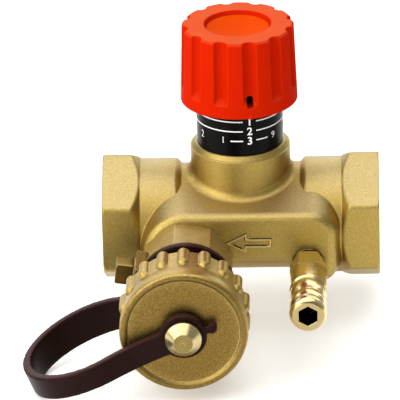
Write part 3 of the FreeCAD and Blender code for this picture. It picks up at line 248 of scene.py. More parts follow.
@dataclass(frozen=True)
class Finish:
    """A real material and how its surface was made.

    Colours are sRGB. The mottle is a tint that comes and goes over the surface, the hollow
    shade is painted shade that gathers in inner corners and hollows, the edge colour is partly
    rubbed wear and partly a painted highlight along edges, and the painted side tone is light
    or shade painted on open faces that look the painted side's way.
    """

    name: str
    colour: str
    mottle: str
    recess: str
    edge: str
    roughness: float
    grain_mm: float
    grain_depth_mm: float
    upper: str = "#000000"
    upper_strength: float = 0.0
    upper_way: tuple[float, float, float] = (0.0, 0.0, 1.0)
    metallic: float = 0.0
    ior: float = 1.5
    specular: float = 0.5
    spread: float = 0.06
    mottle_mm: float = 3.0
    edge_mm: float = 0.3
    edge_strength: float = 0.5
    recess_mm: float = 2.5
    recess_start: float = 0.9
    recess_strength: float = 0.6
    glow: float = 0.0

    def material(self) -> bpy.types.Material:
        """Build the finish as a node material.

        Returns:
            The material.
        """
        made = bpy.data.materials.new(self.name)
        made.use_nodes = True
        tree = made.node_tree
        shader = tree.nodes["Principled BSDF"]
        self.set_constants(shader)
        coords = add_node(tree, "ShaderNodeTexCoord").outputs["Object"]
        height = self.grain(tree, coords)
        bevel = add_node(
            tree, "ShaderNodeBevel", {"Radius": self.edge_mm * MM}, samples=PROBE_RAYS
        )
        rounded = bevel.outputs["Normal"]
        colour = self.colours(tree, self.mottling(tree, coords, height), rounded)
        gloss = add_node(
            tree,
            "ShaderNodeMapRange",
            {
                "Value": height,
                **GLOSS_RANGE,
                "To Min": self.roughness - self.spread,
                "To Max": self.roughness + self.spread,
            },
        )
        relief = add_node(
            tree,
            "ShaderNodeBump",
            {"Distance": self.grain_depth_mm * MM, "Height": height, "Normal": rounded},
        )
        tree.links.new(colour, shader.inputs["Base Color"])
        tree.links.new(gloss.outputs["Result"], shader.inputs["Roughness"])
        tree.links.new(relief.outputs["Normal"], shader.inputs["Normal"])
        return made

    def set_constants(self, shader: bpy.types.Node) -> None:
        """Set what is the same all over the surface.

        Args:
            shader: The material's shader node.
        """
        shader.inputs["Metallic"].default_value = self.metallic
        if not self.metallic:
            shader.inputs["IOR"].default_value = self.ior
            shader.inputs["Specular IOR Level"].default_value = self.specular
        if self.glow:
            shader.inputs["Emission Color"].default_value = linear(self.colour)
            shader.inputs["Emission Strength"].default_value = self.glow

    def grain(self, tree: bpy.types.NodeTree, coords: bpy.types.NodeSocket) -> bpy.types.NodeSocket:
        """Draw the surface's own texture as a height from 0 to 1.

        Args:
            tree: The material's node tree.
            coords: The piece's own coordinates in metres.

        Returns:
            The socket that carries the height.
        """
        noise = add_node(
            tree,
            "ShaderNodeTexNoise",
            {"Vector": coords, "Scale": 1 / (self.grain_mm * MM), **GRAIN_NOISE},
        )
        return noise.outputs["Fac"]

    def mottling(
        self, tree: bpy.types.NodeTree, coords: bpy.types.NodeSocket, height: bpy.types.NodeSocket
    ) -> bpy.types.NodeSocket:
        """Spread the mottle in soft patches that follow the grain.

        Args:
            tree: The material's node tree.
            coords: The piece's own coordinates in metres.
            height: The grain's height.

        Returns:
            The socket that carries the mottle's share.
        """
        drift = add_node(
            tree,
            "ShaderNodeTexNoise",
            {"Vector": coords, "Scale": 1 / (self.mottle_mm * MM), **MOTTLE_NOISE},
        )
        patch = add_node(
            tree,
            "ShaderNodeMath",
            {0: drift.outputs["Fac"], 1: height},
            operation="MULTIPLY",
        )
        share = add_node(tree, "ShaderNodeMapRange", {"Value": patch.outputs[0], **MOTTLE_RANGE})
        return share.outputs["Result"]

    def colours(
        self, tree: bpy.types.NodeTree, share: bpy.types.NodeSocket, rounded: bpy.types.NodeSocket
    ) -> bpy.types.NodeSocket:
        """Lay the painted side tone, the mottle, the painted hollow shade and the edge wear and
        highlight over the main colour.

        Args:
            tree: The material's node tree.
            share: The mottle's share.
            rounded: The normal of the surface with its edges rounded.

        Returns:
            The socket that carries the colour.
        """
        probe = add_node(
            tree,
            "ShaderNodeAmbientOcclusion",
            {"Distance": self.recess_mm * MM},
            samples=PROBE_RAYS,
            only_local=True,
        )
        openness = probe.outputs["AO"]
        facing = add_node(tree, "ShaderNodeNewGeometry").outputs["Normal"]
        # Painted light or shade: the side tone tints open faces that look its way, paler where a
        # top is lit and darker where a face is shaded
        side_facing = add_node(
            tree,
            "ShaderNodeVectorMath",
            {0: facing, 1: self.upper_way},
            operation="DOT_PRODUCT",
        )
        lift = add_node(
            tree,
            "ShaderNodeMapRange",
            {"Value": side_facing.outputs["Value"], **PAINTED_SIDE_RANGE, "To Max": self.upper_strength},
        )
        clear = add_node(tree, "ShaderNodeMapRange", {"Value": openness, **OPEN_RANGE})
        open_side_share = add_node(
            tree,
            "ShaderNodeMath",
            {0: lift.outputs["Result"], 1: clear.outputs["Result"]},
            operation="MULTIPLY",
        )
        tone = add_node(
            tree,
            "ShaderNodeMix",
            {0: open_side_share.outputs[0], 6: linear(self.colour), 7: linear(self.upper)},
            data_type="RGBA",
        )
        ground = add_node(
            tree,
            "ShaderNodeMix",
            {0: share, 6: tone.outputs[2], 7: linear(self.mottle)},
            data_type="RGBA",
            blend_type="MULTIPLY",
        )
        # Painted shade: the hollow shade colour darkens corners and hollows where the occlusion
        # probe finds the surface sheltered
        corner = add_node(
            tree,
            "ShaderNodeMapRange",
            {
                "Value": openness,
                "From Min": self.recess_start,
                "From Max": self.recess_start - HOLLOW_SHADE_SPAN,
                "To Max": self.recess_strength,
            },
        )
        shaded = add_node(
            tree,
            "ShaderNodeMix",
            {0: corner.outputs["Result"], 6: ground.outputs[2], 7: linear(self.recess)},
            data_type="RGBA",
        )
        # Edge colour: partly rubbed wear and partly a painted highlight along edges, where the
        # rounded normal turns from the true one
        along = add_node(
            tree,
            "ShaderNodeVectorMath",
            {0: rounded, 1: facing},
            operation="DOT_PRODUCT",
        )
        wear_and_highlight = add_node(
            tree,
            "ShaderNodeMapRange",
            {"Value": along.outputs["Value"], **WEAR_AND_HIGHLIGHT_RANGE, "To Max": self.edge_strength},
        )
        open_wear_and_highlight = add_node(
            tree,
            "ShaderNodeMath",
            {0: wear_and_highlight.outputs["Result"], 1: openness},
            operation="MULTIPLY",
        )
        worn_and_highlit = add_node(
            tree,
            "ShaderNodeMix",
            {0: open_wear_and_highlight.outputs[0], 6: shaded.outputs[2], 7: linear(self.edge)},
            data_type="RGBA",
        )
        return worn_and_highlit.outputs[2]


@dataclass(frozen=True)
class TurnedFinish(Finish):
    """A finish cut on a lathe, whose fine rings run round an axis."""

    axis: Axis = Axis.DRAIN

    def grain(self, tree: bpy.types.NodeTree, coords: bpy.types.NodeSocket) -> bpy.types.NodeSocket:
        """Draw lathe rings, by the distance along the axis and out from it.

        Args:
            tree: The material's node tree.
            coords: The piece's own coordinates in metres.

        Returns:
            The socket that carries the height.
        """
        point, direction = self.axis.value
        offset = add_node(
            tree,
            "ShaderNodeVectorMath",
            {0: coords, 1: in_frame(*point)},
            operation="SUBTRACT",
        )
        depth = add_node(
            tree,
            "ShaderNodeVectorMath",
            {0: offset.outputs["Vector"], 1: direction},
            operation="DOT_PRODUCT",
        )
        foot = add_node(
            tree,
            "ShaderNodeVectorMath",
            {0: direction, "Scale": depth.outputs["Value"]},
            operation="SCALE",
        )
        flat = add_node(
            tree,
            "ShaderNodeVectorMath",
            {0: offset.outputs["Vector"], 1: foot.outputs["Vector"]},
            operation="SUBTRACT",
        )
        reach = add_node(
            tree, "ShaderNodeVectorMath", {0: flat.outputs["Vector"]}, operation="LENGTH"
        )
        ring = add_node(
            tree,
            "ShaderNodeMath",
            {0: depth.outputs["Value"], 1: reach.outputs["Value"]},
            operation="ADD",
        )
        noise = add_node(
            tree,
            "ShaderNodeTexNoise",
            {"W": ring.outputs[0], "Scale": 1 / (self.grain_mm * MM), **RING_NOISE},
            noise_dimensions="1D",
        )
        return noise.outputs["Fac"]


# Lathe rings and moulded textures are mostly finer than 0.2 mm in life. They are drawn at
# 0.2 to 0.3 mm, so that they show in the render.

# Shot-blasted brass forging: satin and sandy, with a fine even grain, a painted paler highlight on
# open upper faces and painted warm shade in its inner corners
FORGED = Finish(
    name="brass_shot_blasted_forging",
    colour="#AD9654",
    mottle="#E2DDCC",
    recess="#9A7430",
    edge="#C6B276",
    upper="#BFAD7C",
    upper_strength=0.9,
    roughness=0.4,
    metallic=1.0,
    mottle_mm=0.6,
    grain_mm=0.3,
    grain_depth_mm=0.08,
    edge_mm=0.45,
    recess_mm=12.0,
    recess_strength=0.5,
)
# Raised line of the same forging: crisp, with painted dark shade along its upper side and a paler
# colour below that paints a highlight
FORGED_LINE = replace(
    FORGED,
    name="brass_forged_line",
    colour="#D6C488",
    upper="#3A2A0C",
    upper_strength=0.95,
    upper_way=(0.0, -0.5, 1.0),
    edge_mm=0.1,
    grain_depth_mm=0.01,
    recess_mm=0.8,
)
# Drawn brass bar, turned: satin, browner than the forging, with rings from the tool
TURNED = TurnedFinish(
    name="brass_turned_bar",
    colour="#CAB680",
    mottle="#E6DEC6",
    recess="#6A5024",
    edge="#D8C690",
    roughness=0.48,
    metallic=1.0,
    grain_mm=0.25,
    grain_depth_mm=0.008,
    axis=Axis.DRAIN,
)
# The same bar turned about the knob's axis: the spindle and the pieces on it
TURNED_SPINDLE = replace(TURNED, name="brass_turned_spindle", axis=Axis.KNOB)
# Thread cut in the same bar: crisp bright crests, partly rubbed wear and partly a painted
# highlight, over roots darkened by painted shade
THREAD = replace(
    TURNED,
    name="brass_cut_thread",
    recess="#3A2A10",
    roughness=0.28,
    edge_mm=0.05,
    recess_mm=1.6,
    recess_strength=0.85,
)
# Thread cut in the pipe ends of the forging: as crisp, with rings about the pipe
PIPE_THREAD = replace(THREAD, name="brass_cut_pipe_thread", axis=Axis.PIPE)
# Turned brass stem, handled and tarnished: dark, with a painted paler highlight on its top and
# bright edges that are partly rubbed wear and partly painted highlight
STEM = TurnedFinish(
    name="brass_turned_stem",
    colour="#644C22",
    mottle="#DCD8D4",
    recess="#2A1D0A",
    edge="#CBB67E",
    upper="#C4AC68",
    upper_strength=0.9,
    roughness=0.32,
    metallic=1.0,
    grain_mm=0.25,
    grain_depth_mm=0.008,
    edge_mm=0.35,
    edge_strength=0.8,
    axis=Axis.STEM,
)
# Gland nut of the same rod: tarnished evenly and without the stem's painted paler top, so its flats
# are browner than the stem's top
GLAND = replace(STEM, name="brass_turned_gland", colour="#6A5228", upper_strength=0.0)
# Die-formed brass cap: tumbled, bright on the ribs with partly painted highlights, and browner,
# with a fine speckle, on the face
CAP = Finish(
    name="brass_tumbled_cap",
    colour="#CAB068",
    mottle="#B4A88C",
    recess="#6A5022",
    edge="#E6D8A4",
    upper="#846B36",
    upper_strength=0.9,
    upper_way=(0.0, -1.0, 0.0),
    roughness=0.4,
    metallic=1.0,
    grain_mm=0.24,
    grain_depth_mm=0.035,
    mottle_mm=0.4,
    edge_mm=0.4,
    edge_strength=0.7,
)
# Turned and polished brass: a golden mirror with faint tool rings, painted browner shade on its end
# face and painted black shade in its hollows
POLISHED = TurnedFinish(
    name="brass_turned_polished",
    colour="#F0DFAA",
    mottle="#F4EDDC",
    recess="#0C0804",
    edge="#F4E6BC",
    upper="#A69468",
    upper_strength=0.9,
    upper_way=(0.0, -1.0, 0.0),
    roughness=0.2,
    spread=0.05,
    metallic=1.0,
    grain_mm=0.3,
    grain_depth_mm=0.003,
    recess_mm=6.0,
    recess_strength=1.0,
    axis=Axis.NIPPLE,
)
# Turned brass button, spun over as a rivet: smooth and pale, with painted browner shade on its tip
BUTTON = TurnedFinish(
    name="brass_turned_button",
    colour="#D4C594",
    mottle="#EFECE2",
    recess="#5A4620",
    edge="#E4D6A8",
    upper="#7C6836",
    upper_strength=0.9,
    upper_way=(0.0, -1.0, 0.0),
    roughness=0.26,
    metallic=1.0,
    grain_mm=0.3,
    grain_depth_mm=0.006,
    axis=Axis.DRAIN,
)
# Red ABS knob: moulded, matt, with a fine eroded texture, a paler top painted where the light
# strikes, painted highlights along its edges and painted dark shade in its deepest hollows, such as
# the pointer slot
KNOB_RED = Finish(
    name="abs_moulded_red",
    colour="#BE1E03",
    mottle="#F8EEE4",
    recess="#240302",
    edge="#DC380C",
    upper="#D05630",
    upper_strength=0.9,
    roughness=0.45,
    ior=1.54,
    specular=0.002,
    grain_mm=0.25,
    grain_depth_mm=0.006,
    mottle_mm=6.0,
    edge_mm=0.8,
    recess_start=0.65,
    recess_strength=0.9,
)
# Orange ABS disc pressed into the knob: moulded, smoother than the knob
KNOB_ORANGE = Finish(
    name="abs_moulded_orange",
    colour="#D24404",
    mottle="#F8EAFF",
    recess="#A82404",
    edge="#F0702A",
    roughness=0.36,
    ior=1.54,
    specular=0.002,
    grain_mm=0.3,
    grain_depth_mm=0.004,
    mottle_mm=6.0,
)
# Black nylon sleeve: moulded against a polished tool, so it is smooth, with a weak, sharp gloss
SCALE_BLACK = Finish(
    name="nylon_moulded_black",
    colour="#070708",
    mottle="#E7E7E9",
    recess="#040404",
    edge="#1A1A1C",
    roughness=0.22,
    ior=1.53,
    specular=0.05,
    grain_mm=0.3,
    grain_depth_mm=0.003,
)
# White pad-printed ink: flat, slightly uneven in cover
PRINT_WHITE = Finish(
    name="ink_pad_printed_white",
    colour="#FFFFFD",
    mottle="#F4F4F4",
    recess="#DCDCDA",
    edge="#FFFFFD",
    roughness=0.5,
    grain_mm=0.2,
    grain_depth_mm=0.002,
    mottle_mm=0.8,
    recess_strength=0.2,
)
# Brown moulded rubber: satin, with a fine skin, a painted paler highlight on its upper faces,
# painted highlights along its edges and painted dark shade on the inside of its loop
STRAP_BROWN = Finish(
    name="rubber_moulded_brown",
    colour="#1F0B08",
    mottle="#DFD9E0",
    recess="#060202",
    edge="#7A4A3C",
    upper="#3C2220",
    upper_strength=0.9,
    roughness=0.34,
    ior=1.52,
    specular=0.06,
    grain_mm=0.3,
    grain_depth_mm=0.01,
    edge_mm=0.6,
    recess_mm=40.0,
    recess_start=1.0,
    recess_strength=0.9,
    edge_strength=0.8,
)
# Black sealing rubber: moulded, matt
SEAL_BLACK = Finish(
    name="rubber_moulded_black",
    colour="#1C1C1C",
    mottle="#D2D2D2",
    recess="#0A0A0A",
    edge="#303030",
    roughness=0.55,
    ior=1.52,
    grain_mm=0.3,
    grain_depth_mm=0.01,
)
# Machined fluoropolymer seats: waxy white with fine tool rings
SEAT_WHITE = TurnedFinish(
    name="fluoropolymer_machined_white",
    colour="#EDEDE8",
    mottle="#F5F5F4",
    recess="#C4C4BC",
    edge="#F4F4F0",
    roughness=0.45,
    ior=1.38,
    grain_mm=0.3,
    grain_depth_mm=0.006,
    axis=Axis.DRAIN,
)
# Chromium-plated ball: a bright cool mirror
PLATED = Finish(
    name="chromium_plated_brass",
    colour="#D6D8DA",
    mottle="#F4F4F6",
    recess="#8A8C90",
    edge="#E6E8EA",
    roughness=0.08,
    spread=0.03,
    metallic=1.0,
    grain_mm=0.5,
    grain_depth_mm=0.001,
)
# Bright zinc on steel: a satin, slightly blue grey
ZINC = Finish(
    name="steel_bright_zinc",
    colour="#B8BABC",
    mottle="#E9E9EC",
    recess="#5C5E62",
    edge="#D2D4D6",
    roughness=0.32,
    metallic=1.0,
    grain_mm=0.3,
    grain_depth_mm=0.006,
)
# Acrylic sheet lit from below: an even, matt white under soft shadows
FLOOR_WHITE = Finish(
    name="acrylic_sheet_lit_from_below",
    colour="#F6F6F5",
    mottle="#F6F6F5",
    recess="#F6F6F5",
    edge="#F6F6F5",
    roughness=0.9,
    spread=0.02,
    grain_mm=0.6,
    grain_depth_mm=0.002,
    glow=0.32,
)


@dataclass
class FinishShelf:
    """The materials made so far, one for each finish."""

    made: dict[Finish, bpy.types.Material] = field(default_factory=dict)

    def get(self, finish: Finish) -> bpy.types.Material:
        """Return the finish's material, made the first time.

        Args:
            finish: The finish to show.

        Returns:
            Its material.
        """
        if finish not in self.made:
            self.made[finish] = finish.material()
        return self.made[finish]

    def dress(self, finish: Finish, *nodes: str) -> None:
        """Give CAD nodes a finish in their material slots.

        Args:
            finish: The finish that they take.
            *nodes: The CAD nodes' names.
        """
        for node in nodes:
            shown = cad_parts[node]
            if not shown.material_slots:
                shown.data.materials.append(None)
            for slot in shown.material_slots:
                slot.material = self.get(finish)
            LOG.info("%s takes %s", node, finish.name)


@dataclass(frozen=True)
class ScrewThread:
    """A right-hand helical ridge on a round wall, by default on the drain cock's axis.

    Distances along the axis are measured from the origin. A ridge whose crest radius is
    smaller than its root radius stands inwards. The ridge fades at both ends to its least rise.
    """

    root: float
    crest: float
    start: float
    end: float
    shift: float = 0.0
    origin: tuple[float, float, float] = (DRAIN_X, 0.0, PORT_LEVEL)
    axis: tuple[float, float, float] = (0.0, -1.0, 0.0)
    radial: tuple[float, float, float] = (0.0, 0.0, 1.0)
    pitch: float = 1.814
    root_width: float = 1.4
    crest_width: float = 0.3
    steps: int = 40
    fade_steps: int = 8
    least_rise: float = 0.02

    def mesh(self) -> tuple[list[Vector], list[tuple[int, ...]]]:
        """Wind the ridge.

        Returns:
            Its points in metres and its faces.
        """
        axis = Vector(self.axis)
        first = Vector(self.radial)
        second = axis.cross(first)
        inwards = self.crest < self.root
        base = self.root + SUNK if inwards else self.root - SUNK
        foot = self.root_width / 2
        top = self.crest_width / 2
        begin = self.start + foot + self.shift
        run = self.end - self.start - self.root_width - self.shift
        count = int(run / self.pitch * self.steps)
        across = (-foot, -top, top, foot)
        points = []
        for step in range(count + 1):
            angle = 2 * pi * step / self.steps
            fade = min(1.0, step / self.fade_steps, (count - step) / self.fade_steps)
            crest = self.root + (self.crest - self.root) * max(fade, self.least_rise)
            middle = begin + self.pitch * step / self.steps
            out = first * cos(angle) + second * sin(angle)
            for radius, along in zip((base, crest, crest, base), across):
                place = Vector(self.origin) + out * radius + axis * (middle + along)
                points.append(in_frame(*place))
        faces = sweep(count + 1, len(across))
        return points, [face[::-1] for face in faces] if inwards else faces


@dataclass
class ValveBody:
    """The forged body with its pipe threads and the raised flow arrow."""

    shelf: FinishShelf
    thread: ScrewThread = ScrewThread(root=13.22, crest=12.06, start=0.9, end=16.0)
    pad_face: float = 20.5
    arrow_level: float = 1.1
    arrow_tip: float = -3.5
    arrow_back: float = 1.4
    arrow_tail: float = 8.0
    arrow_half: float = 2.45
    shaft_half: float = 1.0
    line_width: float = 0.9
    line_crest: float = 0.3
    line_rise: float = 0.45
    least_mitre: float = 0.4

    def build(self) -> None:
        """Dress the body and build its threads and arrow."""
        self.shelf.dress(FORGED, "valve_body")
        self.pipe_thread("inlet_thread", 1)
        self.pipe_thread("outlet_thread", -1)
        self.flow_arrow()

    def pipe_thread(self, name: str, side: int) -> None:
        """Wind the thread of one pipe end.

        Args:
            name: The piece's name.
            side: 1 for the inlet and -1 for the outlet.
        """
        mouth = (side * HALF_LENGTH, 0.0, 0.0)
        thread = replace(self.thread, origin=mouth, axis=(-side, 0.0, 0.0))
        piece = new_piece(name, *thread.mesh(), self.shelf.get(PIPE_THREAD))
        settle(piece, Body.VALVE)

    def flow_arrow(self) -> None:
        """Raise the outline of the flow arrow on the front pad."""
        corners = [
            Vector((self.arrow_tip, 0.0)),
            Vector((self.arrow_back, self.arrow_half)),
            Vector((self.arrow_back, self.shaft_half)),
            Vector((self.arrow_tail, self.shaft_half)),
            Vector((self.arrow_tail, -self.shaft_half)),
            Vector((self.arrow_back, -self.shaft_half)),
            Vector((self.arrow_back, -self.arrow_half)),
        ]
        foot = self.line_width / 2
        top = self.line_crest / 2
        section = ((-foot, -SUNK), (-top, self.line_rise), (top, self.line_rise), (foot, -SUNK))
        points = []
        for number, corner in enumerate(corners):
            before = (corner - corners[number - 1]).normalized()
            after = (corners[(number + 1) % len(corners)] - corner).normalized()
            mitre = Vector((-before.y - after.y, before.x + after.x)).normalized()
            reach = 1 / max(mitre.dot(Vector((-before.y, before.x))), self.least_mitre)
            for across, rise in section:
                spot = corner + mitre * (across * reach)
                points.append(in_frame(spot.x, -self.pad_face - rise, self.arrow_level + spot.y))
        faces = sweep(len(corners), len(section), closed=True)
        piece = new_piece("flow_arrow", points, faces, self.shelf.get(FORGED_LINE))
        settle(piece, Body.VALVE)


@dataclass
class Bonnet:
    """The inner works on the knob axis."""

    shelf: FinishShelf

    def build(self) -> None:
        """Dress the bonnet, spindle, cone and their seals."""
        self.shelf.dress(TURNED_SPINDLE, "bonnet_insert", "cone_holder", "cone_plug", "spindle")
        self.shelf.dress(SEAL_BLACK, "bonnet_seal", "spindle_oring", "cone_seal")
        self.shelf.dress(ZINC, "sleeve_clip")


@dataclass(frozen=True)
class PrintType:
    """A size of numeral: its height, and how far its strokes thicken as a share of the type."""

    height: float
    weight: float


@dataclass
class ScaleSleeve:
    """The black sleeve with its printed scale.

    Azimuths are degrees from the front, positive towards the inlet.
    """

    shelf: FinishShelf
    radius: float = 11.7
    proud: float = 0.05
    column: float = 14.4
    levels: tuple[float, ...] = (32.7, 29.9, 27.1)
    column_gap: float = 9.0
    dash_end: float = 26.0
    line_width: float = 0.34
    line_step: float = 2.0
    bold: PrintType = PrintType(2.3, 0.02)
    fine: PrintType = PrintType(1.9, -0.012)
    fine_level: float = 27.3
    curve_steps: int = 4
    weld: float = 0.01
    divisions: int = 10

    def build(self) -> None:
        """Dress the sleeve and print its lines and numerals."""
        self.shelf.dress(SCALE_BLACK, "scale_sleeve")
        for number, level in enumerate(self.levels, 1):
            self.numeral(f"scale_numeral_{number}", str(number), self.column, level, self.bold)
        *ringed, dashed = self.levels
        for number, level in enumerate(ringed, 1):
            self.line(f"scale_ring_{number}", level, self.column_gap, FULL_TURN - self.column_gap)
        self.line("scale_dash_right", dashed, self.column_gap, self.dash_end)
        self.line("scale_dash_left", dashed, -self.dash_end, -self.column_gap)
        for number in range(1, self.divisions):
            azimuth = self.column - number * FULL_TURN / self.divisions
            name = f"scale_division_{number}"
            self.numeral(name, str(number), azimuth, self.fine_level, self.fine)

    def on_sleeve(self, azimuth: float, level: float, lift: float) -> Vector:
        """Find a point over the sleeve's wall.

        Args:
            azimuth: Degrees from the front.
            level: Height of the point.
            lift: How far it stands off the wall.

        Returns:
            The point in metres, in the frame.
        """
        angle = radians(azimuth)
        reach = self.radius + lift
        return in_frame(reach * sin(angle), -reach * cos(angle), level)

    def line(self, name: str, level: float, start: float, end: float) -> None:
        """Print a line round part of the sleeve.

        Args:
            name: The piece's name.
            level: Height of the line's middle.
            start: First azimuth, from the numeral column.
            end: Last azimuth, from the numeral column.
        """
        count = round((end - start) / self.line_step)
        half = self.line_width / 2
        corners = ((-half, -SUNK), (-half, self.proud), (half, self.proud), (half, -SUNK))
        points = []
        for step in range(count + 1):
            azimuth = self.column + start + (end - start) * step / count
            points.extend(self.on_sleeve(azimuth, level + rise, lift) for rise, lift in corners)
        faces = sweep(count + 1, len(corners))
        piece = new_piece(name, points, faces, self.shelf.get(PRINT_WHITE))
        settle(piece, Body.VALVE)

    def numeral(self, name: str, text: str, azimuth: float, level: float, size: PrintType) -> None:
        """Print a numeral, bent to the sleeve.

        Args:
            name: The piece's name.
            text: The numeral.
            azimuth: Azimuth of its middle.
            level: Height of its middle.
            size: Its height and weight.
        """
        type_line = bpy.data.curves.new(name, "FONT")
        type_line.body = text
        type_line.offset = size.weight
        type_line.extrude = SUNK
        type_line.resolution_u = self.curve_steps
        setting = bpy.data.objects.new(name, type_line)
        bpy.context.scene.collection.objects.link(setting)
        bpy.context.view_layer.update()
        shown = setting.evaluated_get(bpy.context.evaluated_depsgraph_get())
        mesh = bpy.data.meshes.new_from_object(shown)
        bpy.data.objects.remove(setting)
        outline = bmesh.new()
        outline.from_mesh(mesh)
        bmesh.ops.remove_doubles(outline, verts=outline.verts, dist=self.weld)
        outline.to_mesh(mesh)
        outline.free()
        flat = [v.co.copy() for v in mesh.vertices]
        faces = [tuple(face.vertices) for face in mesh.polygons]
        bpy.data.meshes.remove(mesh)
        low = [min(point[i] for point in flat) for i in range(2)]
        high = [max(point[i] for point in flat) for i in range(2)]
        scale = size.height / (high[1] - low[1])
        points = []
        for point in flat:
            across = (point.x - (low[0] + high[0]) / 2) * scale
            rise = (point.y - (low[1] + high[1]) / 2) * scale
            turn = azimuth + degrees(across / self.radius)
            lift = self.proud if point.z > 0 else -SUNK
            points.append(self.on_sleeve(turn, level + rise, lift))
        piece = new_piece(name, points, faces, self.shelf.get(PRINT_WHITE))
        settle(piece, Body.VALVE)


@dataclass
class Knob:
    """The red knob, its orange disc and its screw."""

    shelf: FinishShelf

    def build(self) -> None:
        """Dress the knob's pieces."""
        self.shelf.dress(KNOB_RED, "knob")
        self.shelf.dress(KNOB_ORANGE, "knob_plug")
        self.shelf.dress(ZINC, "knob_screw")


@dataclass
class DrainCock:
    """The drain cock with its hose thread, ball and stem."""

    shelf: FinishShelf
    thread: ScrewThread = ScrewThread(root=12.06, crest=13.14, start=41.3, end=56.3)

    def build(self) -> None:
        """Dress the drain cock and wind its hose thread."""
        self.shelf.dress(TURNED, "drain_body", "ball_retainer")
        self.shelf.dress(STEM, "drain_stem")
        self.shelf.dress(GLAND, "stem_gland")
        self.shelf.dress(SEAT_WHITE, "ball_seat_rear", "ball_seat_front", "stem_packing")
        self.shelf.dress(SEAL_BLACK, "drain_seal")
        self.shelf.dress(PLATED, "drain_ball")
        piece = new_piece("hose_thread", *self.thread.mesh(), self.shelf.get(THREAD))
        settle(piece, Body.VALVE)


@dataclass
class DrainCap:
    """The screw cap with its inner thread, gasket and riveted button.

    The shift sets its thread half a pitch from the hose thread.
    """

    shelf: FinishShelf
    thread: ScrewThread = ScrewThread(root=13.32, crest=12.22, start=47.3, end=56.4, shift=0.356)

    def build(self) -> None:
        """Dress the cap and wind its thread."""
        self.shelf.dress(CAP, "drain_cap")
        self.shelf.dress(BUTTON, "cap_button")
        self.shelf.dress(SEAL_BLACK, "cap_gasket")
        piece = new_piece("cap_thread", *self.thread.mesh(), self.shelf.get(THREAD))
        settle(piece, Body.CAP)


@dataclass
class RetainingStrap:
    """The rubber strap, with the rounded edges that a mould gives it."""

    shelf: FinishShelf
    voxel: float = 0.3
    rounding: int = 8
    rounding_share: float = 0.5
    bend_start: float = 36.8
    bend_end: float = 62.2

    def build(self) -> None:
        """Round the strap's edges in a new mesh and hide the CAD strap."""
        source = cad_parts["retaining_strap"]
        draft = bpy.data.objects.new("strap_draft", source.data.copy())
        bpy.context.scene.collection.objects.link(draft)
        remesh = draft.modifiers.new("skin", "REMESH")
        remesh.mode = "VOXEL"
        remesh.voxel_size = self.voxel * MM
        soften = draft.modifiers.new("rounding", "SMOOTH")
        soften.factor = self.rounding_share
        soften.iterations = self.rounding
        bpy.context.view_layer.update()
        shown = draft.evaluated_get(bpy.context.evaluated_depsgraph_get())
        mesh = bpy.data.meshes.new_from_object(shown)
        bpy.data.objects.remove(draft)
        mesh.materials.clear()
        mesh.materials.append(self.shelf.get(STRAP_BROWN))
        mesh.shade_smooth()
        strap = bpy.data.objects.new("rubber_strap", mesh)
        bpy.context.scene.collection.objects.link(strap)
        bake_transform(strap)
        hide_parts("retaining_strap")
        LOG.info("%s bends from %s to %s", strap.name, Body.VALVE.value, Body.CAP_TRAVEL.value)


@dataclass
class TestNipple:
    """The polished test nipple and its O-ring."""

    shelf: FinishShelf

    def build(self) -> None:
        """Dress the nipple."""
        self.shelf.dress(POLISHED, "test_nipple")
        self.shelf.dress(SEAL_BLACK, "nipple_oring")


@dataclass(frozen=True)
class SoftBox:
    """A rectangular studio light.

    Its place, from its target, and its sizes are in metres, and its power is in watts.
    """

    name: str
    place: tuple[float, float, float]
    width: float
    height: float
    power: float

    def hang(self, target: Vector) -> None:
        """Hang the light so that it faces a point.

        Args:
            target: The point that it faces, in metres.
        """
        lamp = bpy.data.lights.new(self.name, "AREA")
        lamp.shape = "RECTANGLE"
        lamp.size = self.width
        lamp.size_y = self.height
        lamp.energy = self.power
        light = bpy.data.objects.new(self.name, lamp)
        light.location = target + Vector(self.place)
        light.rotation_euler = (-Vector(self.place)).to_track_quat("-Z", "Y").to_euler()
        bpy.context.scene.collection.objects.link(light)


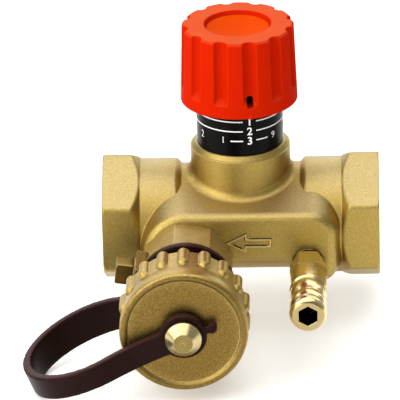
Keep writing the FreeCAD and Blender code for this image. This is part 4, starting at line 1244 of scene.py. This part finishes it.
@dataclass
class Studio:
    """The pale floor, the soft lights and the camera.

    The floor's size and the far clipping distance are in metres, and the angles in degrees.
    """

    floor_size: float = 8.0
    sky_strength: float = 0.36
    light_target: tuple[float, float, float] = (0.0, -20.0, 10.0)
    boxes: tuple[SoftBox, ...] = (
        SoftBox("top_box", (-0.15, -0.25, 0.9), 1.3, 1.7, 13.2),
        SoftBox("back_box", (0.0, 1.0, 0.5), 1.7, 0.9, 7.65),
        SoftBox("left_box", (-1.0, -0.5, 0.55), 1.0, 0.9, 7.4),
        SoftBox("front_box", (-0.8, -1.05, 0.12), 1.2, 0.5, 6.0),
    )
    lens: float = 450.0
    sensor: float = 36.0
    far_clip: float = 20.0
    distance: float = 1366.0
    elevation: float = 24.76
    yaw: float = 2.0
    roll: float = -1.52
    slide: tuple[float, float] = (-11.45, 3.96)

    def build(self) -> None:
        """Set the floor, the light and the camera."""
        self.lay_floor()
        self.light()
        self.aim_camera()

    def lay_floor(self) -> None:
        """Lay the floor under the lowest point of the valve."""
        half = self.floor_size / 2
        low = cad_box[0].z
        middle = in_frame(0.0, 0.0, 0.0)
        corners = [
            Vector((middle.x + x * half, middle.y + y * half, low))
            for x, y in ((-1, -1), (1, -1), (1, 1), (-1, 1))
        ]
        floor = new_piece("floor", corners, [(0, 1, 2, 3)], FLOOR_WHITE.material())

    def light(self) -> None:
        """Hang the soft boxes and set the even light around them."""
        target = in_frame(*self.light_target)
        for box in self.boxes:
            box.hang(target)
        world = bpy.data.worlds.new("studio_walls")
        world.use_nodes = True
        walls = world.node_tree.nodes["Background"]
        walls.inputs["Color"].default_value = linear("#FFFFFF")
        walls.inputs["Strength"].default_value = self.sky_strength
        bpy.context.scene.world = world
        bpy.context.scene.view_settings.view_transform = "Standard"

    def aim_camera(self) -> None:
        """Place the camera at the photograph's viewing angle."""
        tilt, turn, lean = (radians(a) for a in (self.elevation, self.yaw, self.roll))
        back = Vector((sin(turn) * cos(tilt), -cos(turn) * cos(tilt), sin(tilt)))
        level = Vector((cos(turn), sin(turn), 0.0))
        upright = back.cross(level)
        right = level * cos(lean) + upright * sin(lean)
        up = upright * cos(lean) - level * sin(lean)
        place = back * self.distance + right * self.slide[0] + up * self.slide[1]
        lens = bpy.data.cameras.new("photo_camera")
        lens.lens = self.lens
        lens.sensor_width = self.sensor
        lens.clip_end = self.far_clip
        camera = bpy.data.objects.new("photo_camera", lens)
        turned = Matrix((right, up, back)).transposed().to_4x4()
        camera.matrix_world = Matrix.Translation(in_frame(*place)) @ turned
        bpy.context.scene.collection.objects.link(camera)
        bpy.context.scene.camera = camera


def main() -> None:
    """Build the valve's sub-assemblies and the studio."""
    logging.basicConfig(level=logging.INFO, format="%(name)s: %(message)s")
    shelf = FinishShelf()
    parts = (ValveBody, Bonnet, ScaleSleeve, Knob, DrainCock, DrainCap, RetainingStrap, TestNipple)
    for part in parts:
        LOG.info("building %s", part.__name__)
        part(shelf).build()
    Studio().build()


if __name__ == "__main__":
    main()
